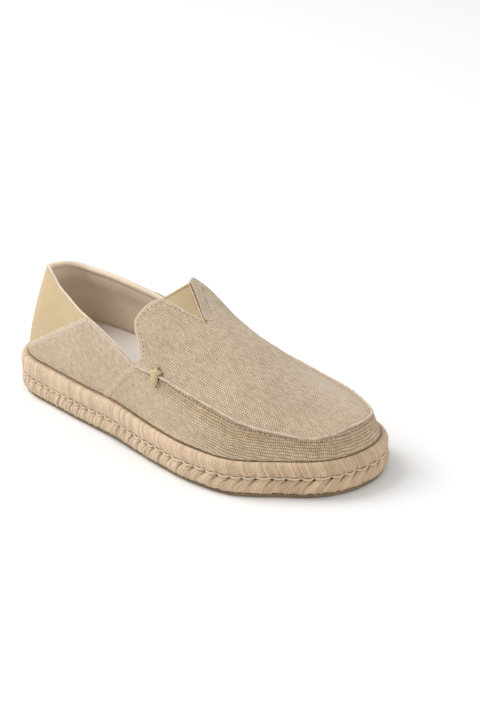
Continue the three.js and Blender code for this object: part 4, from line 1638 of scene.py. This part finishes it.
class SLIPON_OT_insole(bpy.types.Operator):
    """Add the insole"""

    bl_idname = "slipon.insole"
    bl_label = "Insole"

    def execute(self, context):
        cloth = cloth_material("Insole Cloth", tuple(colours().insole), 1100.0, 0.05, roughness=0.8)
        piece("insole_sock", insole_mesh(), cloth, ["insole"])
        return {"FINISHED"}


class SLIPON_OT_canvas(bpy.types.Operator):
    """Add the canvas panels: side wall, apron and quarters"""

    bl_idname = "slipon.canvas"
    bl_label = "Canvas panels"

    def execute(self, context):
        piece("apron", apron_mesh(), canvas(), ["upper"], thickness=1.0)
        piece("side_wall", side_wall_mesh(), canvas(), thickness=1.0)
        piece("quarters", quarters_mesh(), canvas(), thickness=1.0)
        return {"FINISHED"}


class SLIPON_OT_seams(bpy.types.Operator):
    """Add the raised seams and the hems of the canvas"""

    bl_idname = "slipon.seams"
    bl_label = "Seams and hems"

    def execute(self, context):
        hem = canvas("Canvas Hem", pitch=1.3)
        piece("apron_seam", seam_pipe_mesh(), hem)
        piece("quarter_seam_outer", quarter_seam_mesh(-1), hem)
        piece("quarter_seam_inner", quarter_seam_mesh(1), hem)
        piece("counter_hem", counter_hem_mesh(), hem)
        piece("throat_hem", throat_hem_mesh(), hem)
        piece("v_flap", v_flap_mesh(), canvas(), thickness=0.5)
        # A dark tube in the crevice at the canvas's foot: painted shade.
        piece("feather_shade", feather_mesh(), dark_stitch())
        return {"FINISHED"}


class SLIPON_OT_stitches(bpy.types.Operator):
    """Add the stitches beside the seams and the stitch holes round the throat"""

    bl_idname = "slipon.stitches"
    bl_label = "Stitches"

    def execute(self, context):
        pitch = sizes().stitch_pitch / MM
        path, normals = seam_line(offset=1.55, margin=0.03)
        at, ahead, out = spaced(path, normals, pitch)
        mesh = beads_mesh("seam_stitches", at + out * 0.5, ahead, out, pitch * 0.34, 0.22, 0.2)
        piece("seam_stitches", mesh, dark_stitch())
        path, normals = seam_line(offset=3.6, margin=0.05)
        at, ahead, out = spaced(path, normals, pitch, start=1.5)
        mesh = beads_mesh("edge_stitches", at + out * 0.1, ahead, out, pitch * 0.34, 0.24, 0.2)
        pale = thread_material("Pale Stitch", tuple(colours().thread))
        piece("edge_stitches", mesh, pale)
        x, y = throat_line(0.03, 0.98, inset=1.9)
        path, normals = plan_line(x, y)
        at, ahead, out = spaced(path, normals, sizes().hole_pitch / MM)
        # Dark beads stand in for the stitch holes: painted shade in the holes.
        mesh = beads_mesh("throat_holes", at + out * 0.02, ahead, out, 0.5, 0.36, 0.16)
        piece("throat_holes", mesh, dark_stitch())
        return {"FINISHED"}


class SLIPON_OT_counter(bpy.types.Operator):
    """Add the leather heel counter"""

    bl_idname = "slipon.counter"
    bl_label = "Heel counter"

    def execute(self, context):
        piece("counter", counter_mesh(), leather(), ["heel_counter"], thickness=0.9)
        return {"FINISHED"}


class SLIPON_OT_lining(bpy.types.Operator):
    """Add the padded lining of the quarters and the lining of the vamp"""

    bl_idname = "slipon.lining"
    bl_label = "Lining"

    def execute(self, context):
        piece("quarter_lining", quarter_lining_mesh(), lining())
        piece("vamp_lining", vamp_lining_mesh(), lining())
        return {"FINISHED"}


class SLIPON_OT_gore(bpy.types.Operator):
    """Add the ribbed gore in the V of the throat, its rim, a painted shadow tube in the gap, and apex
    stitch
    """

    bl_idname = "slipon.gore"
    bl_label = "Throat gore"

    def execute(self, context):
        ribbed = leather_material("Ribbed Leather", tuple(colours().leather), ribbed=True)
        piece("gore", gore_mesh(), ribbed, ["throat_gore"], thickness=0.6)
        piece("gore_rim", gore_rim_mesh(), leather())
        brown = thread_material("Brown Stitch", tuple(colours().brown))
        # A brown tube in the V's gap: painted shadow.
        piece("v_gap_shadow", v_gap_mesh(), brown)
        tip, normals = plan_line(*throat_place(np.array([0.985]), 1.0))
        mesh = beads_mesh("apex_stitch", tip + normals * 0.4, [(1.0, -0.5, 0.0)], normals, 2.0, 0.6, 0.5)
        piece("apex_stitch", mesh, brown)
        return {"FINISHED"}


# Holes round a tack: distances up and ahead of its middle.
TACK_HOLES = ((4.8, 0.3), (2.9, 4.3), (2.0, -4.6), (-1.6, 2.6), (-6.4, 1.6))


class SLIPON_OT_tacks(bpy.types.Operator):
    """Add the two leather cord tacks and the holes that they go into"""

    bl_idname = "slipon.tacks"
    bl_label = "Tacks"

    def execute(self, context):
        cord = leather_material("Cord Leather", tuple(colours().cord), roughness=0.5)
        for side, name, node in ((-1, "cord_outer", "tack_lateral"), (1, "cord_inner", "tack_medial")):
            piece(name, tack_mesh(name, side), cord, [node])
            place, up, out, ahead = tack_line(side)
            # Dark beads stand in for the holes: painted shade in them.
            holes = place + np.array([up * a + ahead * b for a, b in TACK_HOLES])
            count = len(holes)
            raised = holes + out * 0.6
            mesh = beads_mesh(name + "_holes", raised, [up] * count, [out] * count, 1.0, 0.6, 0.4)
            piece(name + "_holes", mesh, dark_stitch())
        return {"FINISHED"}


class SLIPON_OT_stage(bpy.types.Operator):
    """Add the floor, the soft studio light and the camera"""

    bl_idname = "slipon.stage"
    bl_label = "Stage"

    def execute(self, context):
        add_floor()
        add_lights()
        add_camera()
        return {"FINISHED"}


# ---------------------------------------------------------------------------------------------
# Stage
# ---------------------------------------------------------------------------------------------
CAMERA = {
    "azimuth": 46.0,
    "elevation": 23.5,
    "roll": -2.8,
    "distance": 1.42,
    "lens": 111.15,
    "target": (0.0, 0.00693, 0.030),
    "shift": (0.0665, 0.0301),
}


def add_floor():
    made = bmesh.new()
    bmesh.ops.create_grid(made, x_segments=2, y_segments=2, size=6.0)
    mesh = bpy.data.meshes.new("floor")
    made.to_mesh(mesh)
    made.free()
    material, tree, shader = new_material("Studio Floor")
    shader.inputs["Roughness"].default_value = 0.9
    shader.inputs["Specular IOR Level"].default_value = 0.05
    place = tree.add("ShaderNodeTexCoord").outputs["Object"]
    faint = tree.noise(place, 3.0, 2.0).outputs[0]
    pale = tuple(colours().floor)
    tone = tree.mix(faint, (*pale, 1.0), (*[c * 0.995 for c in pale], 1.0))
    material.node_tree.links.new(tone, shader.inputs["Base Color"])
    mesh.materials.append(material)
    floor = bpy.data.objects.new("floor", mesh)
    bpy.context.scene.collection.objects.link(floor)


def add_area(name, place, target, size, power, colour=(1.0, 1.0, 1.0)):
    light = bpy.data.lights.new(name, "AREA")
    light.shape = "RECTANGLE"
    light.size, light.size_y = size
    light.energy = power
    light.color = colour
    lamp = bpy.data.objects.new(name, light)
    lamp.location = place
    lamp.rotation_euler = (Vector(target) - Vector(place)).to_track_quat("-Z", "Y").to_euler()
    bpy.context.scene.collection.objects.link(lamp)


def add_lights():
    scene = bpy.context.scene
    scene.view_settings.view_transform = "Standard"
    world = bpy.data.worlds.new("Studio")
    world.use_nodes = True
    background = world.node_tree.nodes["Background"]
    background.inputs["Color"].default_value = (1.0, 1.0, 1.0, 1.0)
    background.inputs["Strength"].default_value = 0.66
    scene.world = world
    add_area("key", (-1.25, -0.6, 1.7), (0, 0, 0.03), (1.4, 1.4), 36.5, (1.0, 0.985, 0.965))
    add_area("fill", (1.9, 0.2, 1.2), (0, 0, 0.03), (1.8, 1.8), 8.0, (0.97, 0.985, 1.0))


def add_camera():
    azimuth, elevation, roll = (math.radians(CAMERA[key]) for key in ("azimuth", "elevation", "roll"))
    back = Vector((
        math.sin(azimuth) * math.cos(elevation),
        -math.cos(azimuth) * math.cos(elevation),
        math.sin(elevation),
    ))
    right = Vector((0, 0, 1)).cross(back).normalized()
    up = back.cross(right)
    turned_right = right * math.cos(roll) + up * math.sin(roll)
    turned_up = up * math.cos(roll) - right * math.sin(roll)
    data = bpy.data.cameras.new("camera")
    data.lens = CAMERA["lens"]
    data.shift_x, data.shift_y = CAMERA["shift"]
    camera = bpy.data.objects.new("camera", data)
    matrix = Matrix((turned_right, turned_up, back)).transposed().to_4x4()
    matrix.translation = Vector(CAMERA["target"]) + back * CAMERA["distance"]
    camera.matrix_world = matrix
    bpy.context.scene.collection.objects.link(camera)
    bpy.context.scene.camera = camera


# ---------------------------------------------------------------------------------------------
# Panel and registration
# ---------------------------------------------------------------------------------------------
OPERATORS = (
    SLIPON_OT_stage,
    SLIPON_OT_outsole,
    SLIPON_OT_ropes,
    SLIPON_OT_sole_thread,
    SLIPON_OT_insole,
    SLIPON_OT_canvas,
    SLIPON_OT_seams,
    SLIPON_OT_stitches,
    SLIPON_OT_counter,
    SLIPON_OT_lining,
    SLIPON_OT_gore,
    SLIPON_OT_tacks,
)


class SLIPON_PT_panel(bpy.types.Panel):
    """Lists the shoe's pieces, colours and sizes"""

    bl_label = "Slip-on"
    bl_idname = "SLIPON_PT_panel"
    bl_space_type = "VIEW_3D"
    bl_region_type = "UI"
    bl_category = "Slip-on"

    def draw(self, context):
        for operator in OPERATORS:
            self.layout.operator(operator.bl_idname)
        for group_name in ("slip_on_colours", "slip_on_sizes"):
            settings = getattr(context.scene, group_name)
            for name in settings.__annotations__:
                self.layout.prop(settings, name)


CLASSES = (SlipOnColours, SlipOnSizes, *OPERATORS, SLIPON_PT_panel)


def register():
    for item in CLASSES:
        bpy.utils.register_class(item)
    bpy.types.Scene.slip_on_colours = PointerProperty(type=SlipOnColours)
    bpy.types.Scene.slip_on_sizes = PointerProperty(type=SlipOnSizes)


def unregister():
    del bpy.types.Scene.slip_on_sizes
    del bpy.types.Scene.slip_on_colours
    for item in reversed(CLASSES):
        bpy.utils.unregister_class(item)


def main():
    """Builds the whole shoe."""
    register()
    for operator in OPERATORS:
        group_name, name = operator.bl_idname.split(".")
        getattr(getattr(bpy.ops, group_name), name)()


if __name__ == "__main__":
    main()
